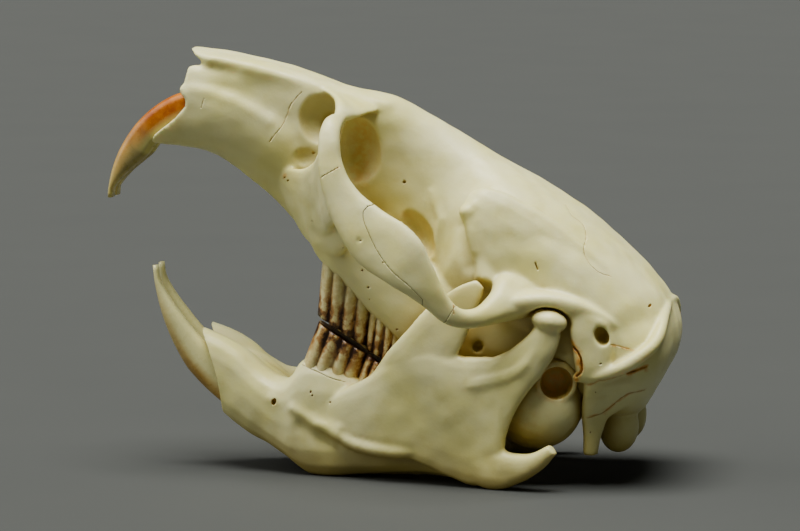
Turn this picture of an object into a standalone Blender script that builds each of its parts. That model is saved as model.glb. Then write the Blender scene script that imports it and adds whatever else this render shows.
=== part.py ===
"""Life-size skull of an adult muskrat (Ondatra zibethicus), resting on its lower jaws with the mouth open.

Blender script, metres, +Z up, nose towards -X, the animal's left side towards -Y.
Forms are given in millimetres as ahead (towards the nose), left (of the midline) and up.
"""

from math import cos, pi, radians, sin

import bmesh
import bpy
import numpy as np
from mathutils import Matrix

MM = 0.001
CLEAR = 0.3            # gap kept between two pieces that touch
LEFT, RIGHT = 1, -1

# Driving sizes of the skull, in millimetres and degrees
NOSE_UP = 29.0                 # pitch of the skull above the floor
SKULL_BACK = -23.42            # place of the skull's own zero in the jaws' frame, ahead
SKULL_UP = 0.51                # and up
BRAINCASE_HALF = 12.2
ARCH_HALF = 19.4               # half the greatest width, over the middle of the cheek arches
CHEWING_GAP = 0.35             # half the gap between the upper and the lower molars
CHEWING_SLOPE = 0.06           # rise of the chewing plane for each millimetre ahead
CHEWING_LEVEL = 33.0           # where that plane crosses the skull's own zero, ahead
MIDLINE = 0.15                 # half the gap between the two lower jaws
CENTRE_AHEAD = 0.81            # middle of the whole length, ahead of the jaws' zero

# Mesh density
CORE_VOXEL, FINE_VOXEL = 0.8, 0.45
CORE_ROUNDS, FINE_ROUNDS = 5, 4
CRANIUM_FACES, JAW_FACES, BULLA_FACES, INCISOR_FACES = 7500, 1850, 440, 300
SHARP_ANGLE = 50.0
SOLVER = "EXACT"

# Colour and roughness
BONE = (0.76, 0.71, 0.52), 0.45
DENTINE = (0.74, 0.64, 0.42), 0.35


# Curves and closed forms

def smooth_rows(rows, count):
    """Returns count rows spaced evenly along a smooth curve through rows."""
    rows = np.asarray(rows, float)
    place = np.r_[0, np.cumsum(np.linalg.norm(np.diff(rows, axis=0), axis=1))]
    slope = np.gradient(rows, place, axis=0)
    at = np.linspace(0, place[-1], count)
    i = np.clip(np.searchsorted(place, at, side="right") - 1, 0, len(rows) - 2)
    span = (place[i + 1] - place[i])[:, None]
    t = (at - place[i])[:, None] / span
    start = (2 * t**3 - 3 * t**2 + 1) * rows[i] + (t**3 - 2 * t**2 + t) * span * slope[i]
    end = (3 * t**2 - 2 * t**3) * rows[i + 1] + (t**3 - t**2) * span * slope[i + 1]
    return start + end


def rounded(sides, square):
    """Cosine and sine of a closed outline that is an ellipse at square 2 and nearer a box above it."""
    turn = np.linspace(0, 2 * pi, sides, endpoint=False)
    c, s = np.cos(turn), np.sin(turn)
    return np.sign(c) * np.abs(c) ** (2 / square), np.sign(s) * np.abs(s) ** (2 / square)


def skinned(rings):
    """A closed form, as points and faces, through rings of equal size."""
    sides = len(rings[0])
    points = np.concatenate(rings)
    faces = [tuple(range(sides))[::-1]]
    for start in range(0, sides * (len(rings) - 1), sides):
        for k in range(sides):
            after = (k + 1) % sides
            faces.append((start + k, start + after, start + sides + after, start + sides + k))
    faces.append(tuple(range(len(points) - sides, len(points))))
    return points, faces


def trunk(rows, count=30, sides=32):
    """A form lofted along the skull. Each row is ahead, top, bottom, half width, widest height (0 to 1),
    squareness, and offset to the left."""
    rings = []
    for ahead, top, bottom, half, widest, square, left in smooth_rows(rows, count):
        c, s = rounded(sides, square)
        middle = bottom + widest * (top - bottom)
        up = middle + np.where(s > 0, (top - middle) * s, (middle - bottom) * s)
        rings.append(np.c_[np.full(sides, ahead), left + half * c, up])
    return skinned(rings)


def strip(rows, count=24, sides=16, square=2.6):
    """A flattened form between two edges. Each row is ahead, left, up of one edge, the same of the other
    edge, and the thickness between the two faces."""
    rows = smooth_rows(rows, count)
    middles = (rows[:, :3] + rows[:, 3:6]) / 2
    c, s = rounded(sides, square)
    rings = []
    for row, middle, along in zip(rows, middles, np.gradient(middles, axis=0)):
        across = (row[:3] - row[3:6]) / 2
        face = np.cross(along, across)
        face *= row[6] / 2 / np.linalg.norm(face)
        rings.append(middle + np.outer(s, across) + np.outer(c, face))
    return skinned(rings)


def rod(rows, count=16, sides=12):
    """A round form. Each row is ahead, left, up and diameter."""
    rows = smooth_rows(rows, count)
    c, s = rounded(sides, 2)
    rings = []
    for row, along in zip(rows, np.gradient(rows[:, :3], axis=0)):
        aside = np.eye(3)[np.argmin(np.abs(along))]
        first = np.cross(along, aside)
        second = np.cross(along, first)
        first *= row[3] / 2 / np.linalg.norm(first)
        second *= row[3] / 2 / np.linalg.norm(second)
        rings.append(row[:3] + np.outer(c, first) + np.outer(s, second))
    return skinned(aligned(rings))


def aligned(rings):
    """Turns the start of each ring to the point nearest the start of the ring before it."""
    made = [rings[0]]
    for ring in rings[1:]:
        nearest = np.argmin(np.linalg.norm(ring - ring.mean(0) - made[-1][0] + made[-1].mean(0), axis=1))
        made.append(np.roll(ring, -nearest, axis=0))
    return made


def egg(centre, radii, turn=(0, 0, 0), rings=18, sides=24):
    """An ellipsoid at centre, with radii ahead, left and up, turned in degrees about those axes in turn."""
    angles = np.linspace(0, pi, rings + 2)[1:-1]
    c, s = rounded(sides, 2)
    points, faces = skinned([np.c_[np.full(sides, -cos(a)), sin(a) * c, sin(a) * s] for a in angles])
    points = points * np.array(radii)
    for axis, angle in enumerate(turn):
        first, second = [k for k in range(3) if k != axis]
        c, s = cos(radians(angle)), sin(radians(angle))
        turned = points.copy()
        turned[:, first] = c * points[:, first] - s * points[:, second]
        turned[:, second] = s * points[:, first] + c * points[:, second]
        points = turned
    return points + np.array(centre), faces


def box(low, high):
    """A block between two corners, each ahead, left and up."""
    corners = [(low[1], low[2]), (high[1], low[2]), (high[1], high[2]), (low[1], high[2])]
    return skinned([np.array([(ahead, *corner) for corner in corners]) for ahead in (low[0], high[0])])


def panel(outline, inner, outer):
    """A plate with an outline of ahead and up, from inner to outer to the left."""
    return skinned([np.array([(a, left, u) for a, u in outline], float) for left in (inner, outer)])


def mirrored(form):
    points, faces = form
    return points * np.array([1, -1, 1]), faces


def both(forms):
    """The forms of the left side and of the right."""
    return forms + [mirrored(form) for form in forms]


def on(side, forms):
    """The forms of the left side, put on that side."""
    return [form if side == LEFT else mirrored(form) for form in forms]


# Meshes

def object_of(name, forms):
    """An object with all the forms, in metres, with X towards the back and Y towards the right."""
    points, faces, start = [], [], 0
    for form_points, form_faces in forms:
        points.append(form_points * np.array([-1, -1, 1]) * MM)
        faces += [tuple(k + start for k in face) for face in form_faces]
        start += len(form_points)
    mesh = bpy.data.meshes.new(name)
    mesh.from_pydata(np.concatenate(points).tolist(), [], faces)
    work = bmesh.new()
    work.from_mesh(mesh)
    bmesh.ops.recalc_face_normals(work, faces=work.faces)
    bmesh.ops.triangulate(work, faces=[face for face in work.faces if len(face.verts) > 4])
    work.to_mesh(mesh)
    work.free()
    made = bpy.data.objects.new(name, mesh)
    bpy.context.scene.collection.objects.link(made)
    return made


def settled(made):
    """Applies the object's modifiers to its mesh."""
    bpy.context.view_layer.update()
    mesh = bpy.data.meshes.new_from_object(made.evaluated_get(bpy.context.evaluated_depsgraph_get()))
    old = made.data
    made.modifiers.clear()
    made.data = mesh
    bpy.data.meshes.remove(old)
    return made


def fuse(made, voxel, rounds):
    """Makes overlapping forms one skin, and softens it."""
    remesh = made.modifiers.new("fuse", "REMESH")
    remesh.mode = "VOXEL"
    remesh.voxel_size = voxel * MM
    soften = made.modifiers.new("soften", "SMOOTH")
    soften.factor = 0.5
    soften.iterations = rounds
    return settled(made)


def combine(made, other, operation):
    """Joins or cuts the object with another, which is then removed."""
    step = made.modifiers.new(operation.lower(), "BOOLEAN")
    step.operation = operation
    step.solver = SOLVER
    step.object = other
    settled(made)
    bpy.data.objects.remove(other)
    return made


def cut(made, forms):
    """Cuts closed forms out of the object, one at a time."""
    for form in forms:
        combine(made, object_of("cutter", [form]), "DIFFERENCE")
    return made


def fuse_teeth(made, forms):
    """Joins closed forms to the object with one union."""
    teeth = bpy.data.collections.new("teeth")
    for form in forms:
        tooth = object_of("tooth", [form])
        bpy.context.scene.collection.objects.unlink(tooth)
        teeth.objects.link(tooth)
    bpy.context.scene.collection.children.link(teeth)
    step = made.modifiers.new("teeth", "BOOLEAN")
    step.operation = "UNION"
    step.solver = SOLVER
    step.operand_type = "COLLECTION"
    step.collection = teeth
    settled(made)
    for tooth in list(teeth.objects):
        bpy.data.objects.remove(tooth)
    bpy.data.collections.remove(teeth)
    return made


def thinned(made, faces):
    """Reduces the object to about so many triangles."""
    made.data.calc_loop_triangles()
    step = made.modifiers.new("thin", "DECIMATE")
    step.ratio = min(1.0, faces / len(made.data.loop_triangles))
    step.use_collapse_triangulate = True
    return settled(made)


def largest(made):
    """Keeps only the largest closed surface of the object."""
    work = bmesh.new()
    work.from_mesh(made.data)
    unseen, islands = set(work.verts), []
    while unseen:
        start = unseen.pop()
        island, open_ends = {start}, [start]
        while open_ends:
            vert = open_ends.pop()
            for other in (edge.other_vert(vert) for edge in vert.link_edges):
                if other in unseen:
                    unseen.discard(other)
                    island.add(other)
                    open_ends.append(other)
        islands.append(island)
    islands.sort(key=len)
    scraps = [vert for island in islands[:-1] for vert in island]
    bmesh.ops.delete(work, geom=scraps, context="VERTS")
    work.to_mesh(made.data)
    work.free()
    return made


def swollen(made, by):
    """A copy of the object grown outwards along its normals, in millimetres."""
    copy = made.copy()
    copy.data = made.data.copy()
    bpy.context.scene.collection.objects.link(copy)
    work = bmesh.new()
    work.from_mesh(copy.data)
    work.normal_update()
    shifts = [vert.normal * by * MM for vert in work.verts]
    for vert, shift in zip(work.verts, shifts):
        vert.co += shift
    work.to_mesh(copy.data)
    work.free()
    return copy


def material(name, colour, roughness):
    made = bpy.data.materials.new(name)
    made.use_nodes = True
    shader = made.node_tree.nodes["Principled BSDF"]
    shader.inputs["Base Color"].default_value = (*colour, 1)
    shader.inputs["Roughness"].default_value = roughness
    shader.inputs["Metallic"].default_value = 0
    return made


def finished(made, look, parent):
    """Shades and parents a piece."""
    made.data.materials.clear()
    made.data.materials.append(look)
    made.data.shade_smooth()
    made.data.set_sharp_from_angle(angle=radians(SHARP_ANGLE))
    made.parent = parent
    return made


# Incisors: each follows a circle along its outer edge, from start to stop degrees

UPPER_INCISOR = {
    "circle": (53.6, 5.9, 14.5), "start": 54, "stop": -26.5,
    "depth": (3.2, 3.5, 3.4, 3.4, 3.0), "width": (2.3, 2.6, 2.7, 2.7, 2.4),
    "left": (2.9, 1.95, 1.6, 1.5, 1.4), "sunk": (0.5, 0.1, 0, 0, 0), "bevel": 0.36,
}
LOWER_INCISOR = {
    "circle": (4.0, 26.8, 25.8), "start": -64, "stop": -6,
    "depth": (3.4, 3.8, 3.7, 3.6, 3.2), "width": (2.6, 2.7, 2.7, 2.5, 1.5),
    "left": (3.2, 2.6, 2.2, 2.0, 1.6), "sunk": (2.3, 0.4, -0.25, -0.1, 0), "bevel": 0.5,
}
TIP_DEPTH = 0.6
WEAR_CURVE = 1.3


def incisor(tooth, swell=0.0, steps=26):
    """A tooth along its circle; over the share called bevel its inner side is worn to a chisel edge."""
    ahead, up, radius = tooth["circle"]
    rows = []
    for share in np.linspace(0, 1, steps):
        depth, width, left, sunk = [
            np.interp(share, np.linspace(0, 1, len(tooth[key])), tooth[key])
            for key in ("depth", "width", "left", "sunk")
        ]
        worn = max(0.0, (share - 1 + tooth["bevel"]) / tooth["bevel"])
        depth = max(depth * (1 - worn**WEAR_CURVE), TIP_DEPTH)
        angle = radians(tooth["start"] + (tooth["stop"] - tooth["start"]) * share)
        outer, inner = radius - sunk + swell, radius - sunk - depth - swell
        rows.append((
            ahead + outer * cos(angle), left, up + outer * sin(angle),
            ahead + inner * cos(angle), left, up + inner * sin(angle), width + 2 * swell,
        ))
    return strip(rows, count=34, sides=16, square=2.8)


# Molars: rows of tall prisms with lobed sides

MOLARS = ((6.9, 4), (4.6, 4), (4.2, 3))      # length and lobes of the first, second and third
MOLAR_OVERLAP = 0.05
LOBE_DEPTH = 0.2


def molar(front, length, left, width, root, crown, lobes, lean, sides=28):
    """A lobed prism from root to crown level; the crown follows the chewing plane."""
    c, s = rounded(sides, 3.2)
    along = (1 - c) / 2
    lobe = 1 - LOBE_DEPTH + LOBE_DEPTH * np.cos(2 * pi * lobes * along + np.where(s > 0, 0.0, pi))
    rings = []
    for level, tilt in ((root, 0.0), (crown, CHEWING_SLOPE)):
        ahead = front - length * along + lean * (level - crown)
        rings.append(np.c_[ahead, left + s * lobe * width / 2, level + tilt * (ahead - CHEWING_LEVEL)])
    return skinned(rings)


def molar_row(front, left, width, root, crown, lean):
    forms = []
    for length, lobes in MOLARS:
        forms.append(molar(front, length, left, width, root, crown, lobes, lean))
        front -= length - MOLAR_OVERLAP
    return forms


def upper_molars():
    return molar_row(37.4, 5.2, 4.0, 8.4, CHEWING_GAP, 0.42)


def lower_molars():
    return molar_row(36.8, 5.3, 3.9, -7.0, -CHEWING_GAP, 0.15)


# Cranium, in its own frame: zero at the back of the braincase and on the chewing plane

def core_forms():
    vault = trunk([
        (-1.6, 17.0, 9.4, 5.8, 0.5, 2.3, 0),
        (-0.9, 19.2, 8.4, 9.4, 0.5, 2.4, 0),
        (0.6, 21.2, 7.4, 11.4, 0.5, 2.4, 0),
        (3.0, 22.9, 6.6, 12.1, 0.48, 2.5, 0),
        (6.0, 24.1, 6.3, BRAINCASE_HALF, 0.5, 2.5, 0),
        (10.0, 25.2, 6.2, BRAINCASE_HALF, 0.54, 2.5, 0),
        (15.0, 26.3, 6.2, 11.8, 0.58, 2.4, 0),
        (20.0, 26.8, 6.5, 11.2, 0.6, 2.4, 0),
        (23.5, 26.9, 7.2, 10.6, 0.62, 2.3, 0),
        (26.0, 26.9, 8.2, 9.4, 0.62, 2.2, 0),
        (28.0, 27.0, 9.4, 7.4, 0.62, 2.1, 0),
        (30.5, 27.1, 10.4, 5.4, 0.6, 2.1, 0),
        (34.0, 27.2, 11.0, 4.2, 0.62, 2.1, 0),
        (38.0, 27.1, 11.0, 3.6, 0.7, 2.2, 0),
        (42.0, 27.1, 10.5, 3.9, 0.76, 2.4, 0),
        (46.0, 25.9, 10.0, 4.4, 0.6, 2.2, 0),
        (50.0, 24.8, 10.2, 4.8, 0.6, 2.2, 0),
    ], count=48)
    base = trunk([
        (-0.4, 13.0, 6.3, 3.6, 0.5, 2.4, 0),
        (4.0, 14.0, 5.6, 3.4, 0.5, 2.4, 0),
        (12.0, 14.0, 6.0, 2.6, 0.5, 2.4, 0),
        (20.0, 14.0, 6.6, 2.2, 0.5, 2.4, 0),
        (26.0, 14.0, 7.0, 2.4, 0.5, 2.4, 0),
    ])
    rostrum = trunk([
        (37.0, 24.0, 10.5, 1.6, 0.5, 2.2, 0),
        (40.0, 24.6, 10.0, 3.0, 0.5, 2.3, 0),
        (43.0, 25.2, 9.4, 4.2, 0.6, 2.5, 0),
        (46.5, 25.1, 8.6, 4.7, 0.76, 2.8, 0),
        (50.0, 24.6, 9.2, 4.7, 0.84, 2.8, 0),
        (55.0, 23.4, 10.0, 4.5, 0.85, 2.8, 0),
        (60.0, 21.4, 9.8, 4.4, 0.8, 2.8, 0),
        (63.4, 20.0, 8.6, 4.4, 0.7, 2.8, 0),
        (66.2, 19.2, 7.8, 4.3, 0.6, 2.8, 0),
    ])
    nasals = trunk([
        (42.0, 27.0, 23.0, 3.6, 0.5, 2.8, 0),
        (48.0, 25.2, 22.4, 4.2, 0.5, 3.2, 0),
        (55.0, 23.8, 21.3, 4.5, 0.45, 3.2, 0),
        (60.0, 22.4, 20.4, 4.4, 0.45, 3.0, 0),
        (62.6, 21.5, 19.7, 4.3, 0.45, 3.0, 0),
        (64.6, 20.7, 19.2, 3.7, 0.45, 2.8, 0),
        (66.0, 20.2, 19.2, 2.7, 0.5, 2.6, 0),
        (67.0, 19.8, 19.3, 1.3, 0.5, 2.4, 0),
    ])
    palate = trunk([
        (66.2, 12.0, 7.4, 3.0, 0.5, 2.4, 0),
        (62.0, 13.0, 9.0, 2.9, 0.5, 2.4, 0),
        (58.0, 13.0, 10.1, 2.8, 0.5, 2.4, 0),
        (53.0, 13.0, 9.7, 2.9, 0.5, 2.4, 0),
        (48.0, 13.0, 8.8, 3.3, 0.5, 2.4, 0),
        (44.0, 13.0, 7.6, 4.2, 0.5, 2.6, 0),
        (40.0, 13.0, 6.6, 4.6, 0.5, 3.0, 0),
        (34.0, 13.0, 5.6, 4.4, 0.5, 3.0, 0),
        (28.0, 12.5, 4.8, 4.2, 0.5, 3.0, 0),
        (24.6, 11.5, 4.6, 3.4, 0.5, 3.0, 0),
    ])
    capsule = strip([
        (66.2, 3.0, 16.4, 65.8, 2.1, 7.4, 4.5),
        (61.5, 3.5, 18.2, 61.0, 2.0, 9.6, 4.7),
        (56.0, 3.7, 19.0, 56.0, 1.9, 11.2, 4.7),
        (51.0, 3.4, 18.8, 51.0, 2.1, 11.8, 4.7),
        (46.0, 2.6, 16.6, 46.0, 2.6, 11.4, 4.4),
    ], square=2.2)
    alveolus = trunk([
        (43.4, 15.0, 8.4, 1.8, 0.5, 2.4, 4.6),
        (41.4, 15.0, 6.8, 2.5, 0.5, 2.8, 4.9),
        (38.0, 14.5, 5.6, 2.8, 0.45, 3.0, 5.1),
        (34.0, 13.6, 4.5, 2.9, 0.45, 3.0, 5.2),
        (30.0, 12.6, 3.3, 2.8, 0.45, 3.0, 5.2),
        (26.0, 11.6, 2.2, 2.6, 0.45, 2.8, 5.1),
        (22.8, 10.4, 2.2, 2.2, 0.5, 2.4, 4.9),
        (21.2, 9.4, 4.0, 1.4, 0.5, 2.4, 4.6),
    ])
    return [vault, base, rostrum, nasals, palate] + both([capsule, alveolus])


def side_hollows():
    """The passage in front of the eye socket, the socket, and the room for the lower jaw's joint head."""
    opening = egg((48.1, 6.0, 20.9), (3.2, 3.0, 3.5), (0, -38, 0))
    passage = egg((47.0, 4.6, 20.4), (1.4, 2.6, 2.3), (0, -38, 0))
    pit = egg((47.6, 6.6, 16.1), (2.2, 2.4, 1.9), (0, -29, 0))
    socket = egg((42.0, 12.4, 19.4), (6.4, 9.0, 6.2), (0, 25, 0))
    socket_front = egg((42.3, 5.6, 19.4), (3.1, 3.4, 4.9), (0, -30, 0))
    socket_floor = egg((32.2, 6.8, 14.8), (4.2, 4.1, 2.2), (0, 27, 0))
    joint = strip([
        (20.0, 12.6, 15.0, 18.0, 12.6, 9.0, 3.2),
        (15.0, 12.9, 16.6, 13.0, 12.9, 9.6, 3.6),
        (11.4, 13.0, 17.0, 9.4, 13.0, 10.8, 3.6),
        (8.4, 13.4, 15.6, 7.6, 13.4, 12.4, 2.4),
    ])
    return [opening, passage, pit, socket, socket_front, socket_floor, joint]


def side_forms():
    """What stands out from the braincase and the snout of one side."""
    arch = strip([
        (43.6, 1.5, 25.6, 50.6, 1.5, 24.0, 1.0),
        (42.8, 4.2, 25.0, 50.6, 3.6, 23.8, 0.9),
        (43.4, 5.8, 24.5, 49.4, 4.8, 24.0, 0.9),
        (44.0, 7.4, 23.8, 48.0, 6.4, 24.1, 1.0),
        (44.6, 9.6, 23.3, 46.9, 9.2, 23.7, 1.3),
        (44.8, 12.6, 22.7, 46.4, 12.2, 23.2, 1.5),
        (44.4, 14.6, 22.1, 46.7, 14.2, 22.5, 1.7),
        (43.6, 15.8, 21.2, 46.2, 15.6, 20.7, 1.8),
        (42.6, 16.2, 19.9, 45.2, 16.3, 18.7, 1.9),
        (40.9, 16.8, 18.5, 43.3, 16.9, 16.3, 1.9),
        (38.8, 17.2, 17.6, 41.2, 17.4, 14.2, 1.9),
        (35.5, 18.0, 17.4, 37.7, 18.2, 11.8, 1.8),
        (32.4, 18.8, 17.4, 34.1, 18.8, 10.5, 1.7),
        (29.7, ARCH_HALF, 16.6, 30.8, ARCH_HALF, 10.3, 1.7),
        (27.5, ARCH_HALF, 15.2, 28.2, ARCH_HALF, 10.3, 1.7),
        (25.4, 19.2, 13.6, 25.8, 19.0, 10.1, 1.8),
        (23.5, 18.6, 12.3, 23.3, 18.6, 9.5, 2.0),
        (22.0, 18.0, 11.9, 21.5, 18.0, 9.7, 2.2),
        (20.8, 16.6, 12.5, 19.5, 16.8, 10.6, 2.4),
        (20.2, 14.4, 14.1, 17.6, 15.2, 12.2, 2.8),
        (20.6, 11.8, 15.6, 15.4, 13.2, 14.2, 3.4),
        (20.6, 9.0, 16.6, 13.6, 11.0, 15.8, 4.0),
    ], count=64)
    plate = strip([
        (50.4, 3.0, 13.0, 43.4, 3.0, 7.6, 1.4),
        (48.9, 4.9, 14.0, 42.0, 4.6, 7.2, 1.5),
        (47.4, 6.5, 14.9, 41.2, 6.0, 7.4, 1.6),
        (46.4, 8.2, 16.0, 40.8, 7.4, 9.0, 1.8),
        (45.8, 10.2, 17.4, 40.4, 9.9, 10.2, 1.8),
        (45.6, 12.4, 19.0, 40.2, 13.0, 11.8, 1.8),
        (45.2, 14.9, 20.2, 39.6, 16.2, 13.0, 1.8),
    ])
    root = strip([
        (45.8, 5.8, 12.6, 39.6, 5.8, 6.4, 2.4),
        (44.6, 7.2, 13.2, 38.6, 7.0, 7.6, 2.4),
        (43.2, 9.2, 14.2, 37.9, 9.0, 9.2, 2.3),
        (42.0, 11.8, 15.8, 37.5, 11.8, 11.0, 2.0),
    ], square=2.2)
    ridge = strip([
        (19.6, 14.4, 14.4, 18.8, 13.6, 12.6, 2.8),
        (14.6, 12.9, 17.8, 14.0, 12.3, 15.4, 2.6),
        (11.0, 12.2, 18.8, 10.6, 12.0, 16.6, 2.2),
        (7.8, 11.6, 18.8, 7.6, 11.6, 17.2, 1.8),
        (4.6, 11.0, 18.4, 4.6, 11.0, 17.4, 1.2),
    ])
    temple = strip([
        (28.3, 8.0, 22.8, 27.6, 9.2, 19.4, 2.0),
        (27.2, 8.5, 24.0, 25.6, 10.2, 17.2, 2.8),
        (24.6, 8.6, 24.8, 22.6, 10.5, 14.8, 3.4),
        (21.0, 8.6, 25.0, 19.6, 10.5, 13.8, 3.4),
        (16.0, 8.8, 24.6, 15.6, 10.5, 14.0, 2.8),
        (10.0, 9.0, 23.2, 10.0, 10.2, 15.0, 2.0),
        (5.0, 8.6, 21.0, 5.0, 9.6, 16.0, 1.0),
    ], square=2.0)
    socket_wall = strip([
        (25.4, 9.6, 18.2, 21.0, 9.6, 18.4, 3.0),
        (24.2, 10.4, 16.2, 20.0, 9.8, 16.2, 3.0),
        (22.6, 11.4, 14.6, 18.6, 10.2, 14.6, 3.0),
    ])
    base_wall = trunk([
        (27.0, 13.0, 5.0, 1.8, 0.5, 2.2, 5.4),
        (22.0, 15.4, 3.8, 2.8, 0.5, 2.2, 6.6),
        (17.0, 16.0, 4.8, 3.2, 0.5, 2.2, 7.4),
        (12.0, 15.6, 6.6, 3.2, 0.5, 2.2, 8.0),
    ], count=14, sides=20)
    process = strip([
        (11.8, 12.1, 17.0, 6.6, 11.9, 18.0, 2.0),
        (10.3, 12.4, 15.2, 5.0, 12.1, 16.2, 1.9),
        (9.1, 12.6, 13.6, 4.2, 12.2, 14.4, 1.8),
        (7.9, 12.6, 12.0, 4.2, 12.3, 12.9, 1.8),
        (6.9, 12.4, 10.7, 4.8, 12.2, 11.6, 1.7),
    ])
    crest = rod([
        (7.2, 12.0, 10.4, 1.2), (5.4, 12.5, 11.7, 1.5), (3.3, 12.5, 13.8, 1.6), (1.6, 12.1, 16.6, 1.6),
        (1.0, 10.9, 18.5, 1.6), (1.2, 9.5, 19.9, 1.5), (1.6, 7.5, 20.9, 1.4), (2.0, 4.5, 21.7, 1.2),
        (2.2, -0.6, 21.9, 1.0),
    ], count=36)
    flank = strip([
        (6.0, 11.9, 12.0, 0.6, 10.0, 16.4, 2.4),
        (5.8, 11.8, 10.2, -0.2, 9.2, 13.0, 2.6),
        (5.0, 11.0, 8.4, 0.4, 8.6, 10.4, 2.4),
        (3.9, 10.0, 6.2, 1.6, 8.8, 7.8, 2.0),
        (3.0, 9.6, 4.6, 1.1, 9.0, 5.7, 1.8),
        (1.9, 9.2, 2.6, 0.4, 9.0, 3.5, 1.8),
    ])
    condyle = egg((0.1, 4.5, 6.9), (2.4, 2.4, 3.3), (0, -NOSE_UP, 0))
    neck = egg((2.6, 4.2, 9.2), (2.8, 2.2, 3.2), (0, -NOSE_UP, 0))
    wing = strip([
        (28.0, 3.4, 9.6, 26.5, 3.2, 4.6, 1.3),
        (22.5, 3.4, 10.0, 21.5, 3.3, 4.6, 1.2),
        (16.5, 4.0, 10.4, 16.5, 3.9, 6.0, 1.3),
    ])
    face = [arch, plate, root, ridge, temple, socket_wall]
    return face + [base_wall, process, crest, flank, condyle, neck, wing]


def deep_cuts():
    """The nose, the spinal opening and the throat on the midline, the front of the snout and the gap under
    the tips of the nose bones; and the palate's slits and the side holes."""
    nose = trunk([
        (69.0, 18.8, 14.2, 3.4, 0.5, 2.8, 0),
        (66.0, 18.9, 15.0, 3.4, 0.5, 2.8, 0),
        (64.2, 19.1, 16.8, 3.5, 0.5, 2.4, 0),
        (62.4, 19.4, 18.0, 3.1, 0.5, 2.4, 0),
        (60.4, 19.9, 19.0, 2.2, 0.5, 2.4, 0),
    ], count=12, sides=20)
    spinal = trunk([
        (-5.0, 11.8, 6.8, 3.3, 0.5, 2.0, 0),
        (0.0, 12.4, 7.2, 3.4, 0.5, 2.0, 0),
        (4.0, 15.0, 8.4, 4.6, 0.5, 2.0, 0),
        (10.0, 17.0, 9.0, 5.6, 0.5, 2.0, 0),
        (12.5, 14.5, 10.5, 3.0, 0.5, 2.0, 0),
    ], count=12, sides=20)
    throat = trunk([
        (27.6, 7.6, 3.0, 2.1, 0.5, 2.4, 0),
        (22.0, 8.6, 1.0, 2.2, 0.5, 2.4, 0),
        (15.0, 8.0, 0.0, 2.0, 0.5, 2.4, 0),
    ], count=10, sides=16)
    slit = strip([
        (60.4, 0.9, 10.6, 60.4, 0.9, 7.0, 0.9), (54.0, 1.1, 11.6, 54.0, 1.1, 7.6, 1.3),
        (48.4, 0.9, 10.0, 48.4, 0.9, 6.6, 0.9),
    ])
    temple_hole = egg((6.7, 13.0, 16.4), (1.15, 2.2, 0.75), (0, 35, 0))
    joint = egg((12.7, 13.2, 14.9), (2.65, 2.3, 1.75), (0, -17, 0))
    nerve_hole = egg((18.7, 10.0, 7.6), (0.6, 1.3, 0.75))
    exit_front = panel([
        (65.8, 18.9), (65.3, 18.2), (64.9, 17.2), (64.6, 16.3), (64.8, 15.7), (64.5, 15.2), (63.6, 14.9),
        (63.2, 14.1), (63.5, 12.4), (64.2, 10.7), (65.0, 9.0), (65.0, 4.0), (72.0, 4.0), (72.0, 18.9),
    ], -9.0, 9.0)
    snout_gap = panel([
        (63.3, 19.3), (65.2, 19.7), (68.0, 20.0), (68.0, 17.9), (65.4, 18.1), (64.6, 18.8),
    ], -9.0, 9.0)
    return [nose, spinal, throat, exit_front, snout_gap] + both([slit, temple_hole, joint, nerve_hole])


def cheek_territory(grown):
    """What the separate cheek bone takes of the arch, between its two seams, moved outwards by grown."""
    seam = smooth_rows([
        (36.0, 17.7), (37.0, 17.0), (37.2, 16.1), (36.5, 15.2), (35.3, 14.3), (33.6, 13.2), (31.0, 12.1),
        (28.0, 11.5), (26.2, 10.9),
    ], 22)
    around = [(25.4, 9.0), (22.8, 8.6), (22.7, 12.8), (24.0, 16.0), (29.0, 19.0), (36.0, 19.4)]
    outline = np.concatenate([seam, around])
    along = np.roll(outline, -1, axis=0) - outline
    along /= np.linalg.norm(along, axis=1)[:, None]
    outwards = np.c_[-along[:, 1], along[:, 0]]
    corner = outwards + np.roll(outwards, 1, axis=0)
    return panel(outline + 2 * grown * corner / (corner**2).sum(1)[:, None], 16.0, 22.0)


def bulla_forms():
    """The ear capsule of one side with the collar of the ear opening."""
    capsule = egg((10.6, 7.5, 5.4), (6.8, 4.6, 6.0), (0, 10, -22))
    collar = rod([(9.6, 7.6, 8.0, 6.2), (9.0, 10.0, 8.7, 5.6), (8.6, 11.9, 9.0, 5.0)])
    return [capsule, collar]


def ear_hole(count, sides):
    rows = [(8.2, 14.0, 9.1, 3.9), (8.6, 11.6, 8.8, 3.8), (8.9, 10.2, 8.6, 3.4), (9.1, 9.4, 8.5, 2.4)]
    return rod(rows, count, sides)


# Lower jaw of one side, in the frame of the floor

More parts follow.
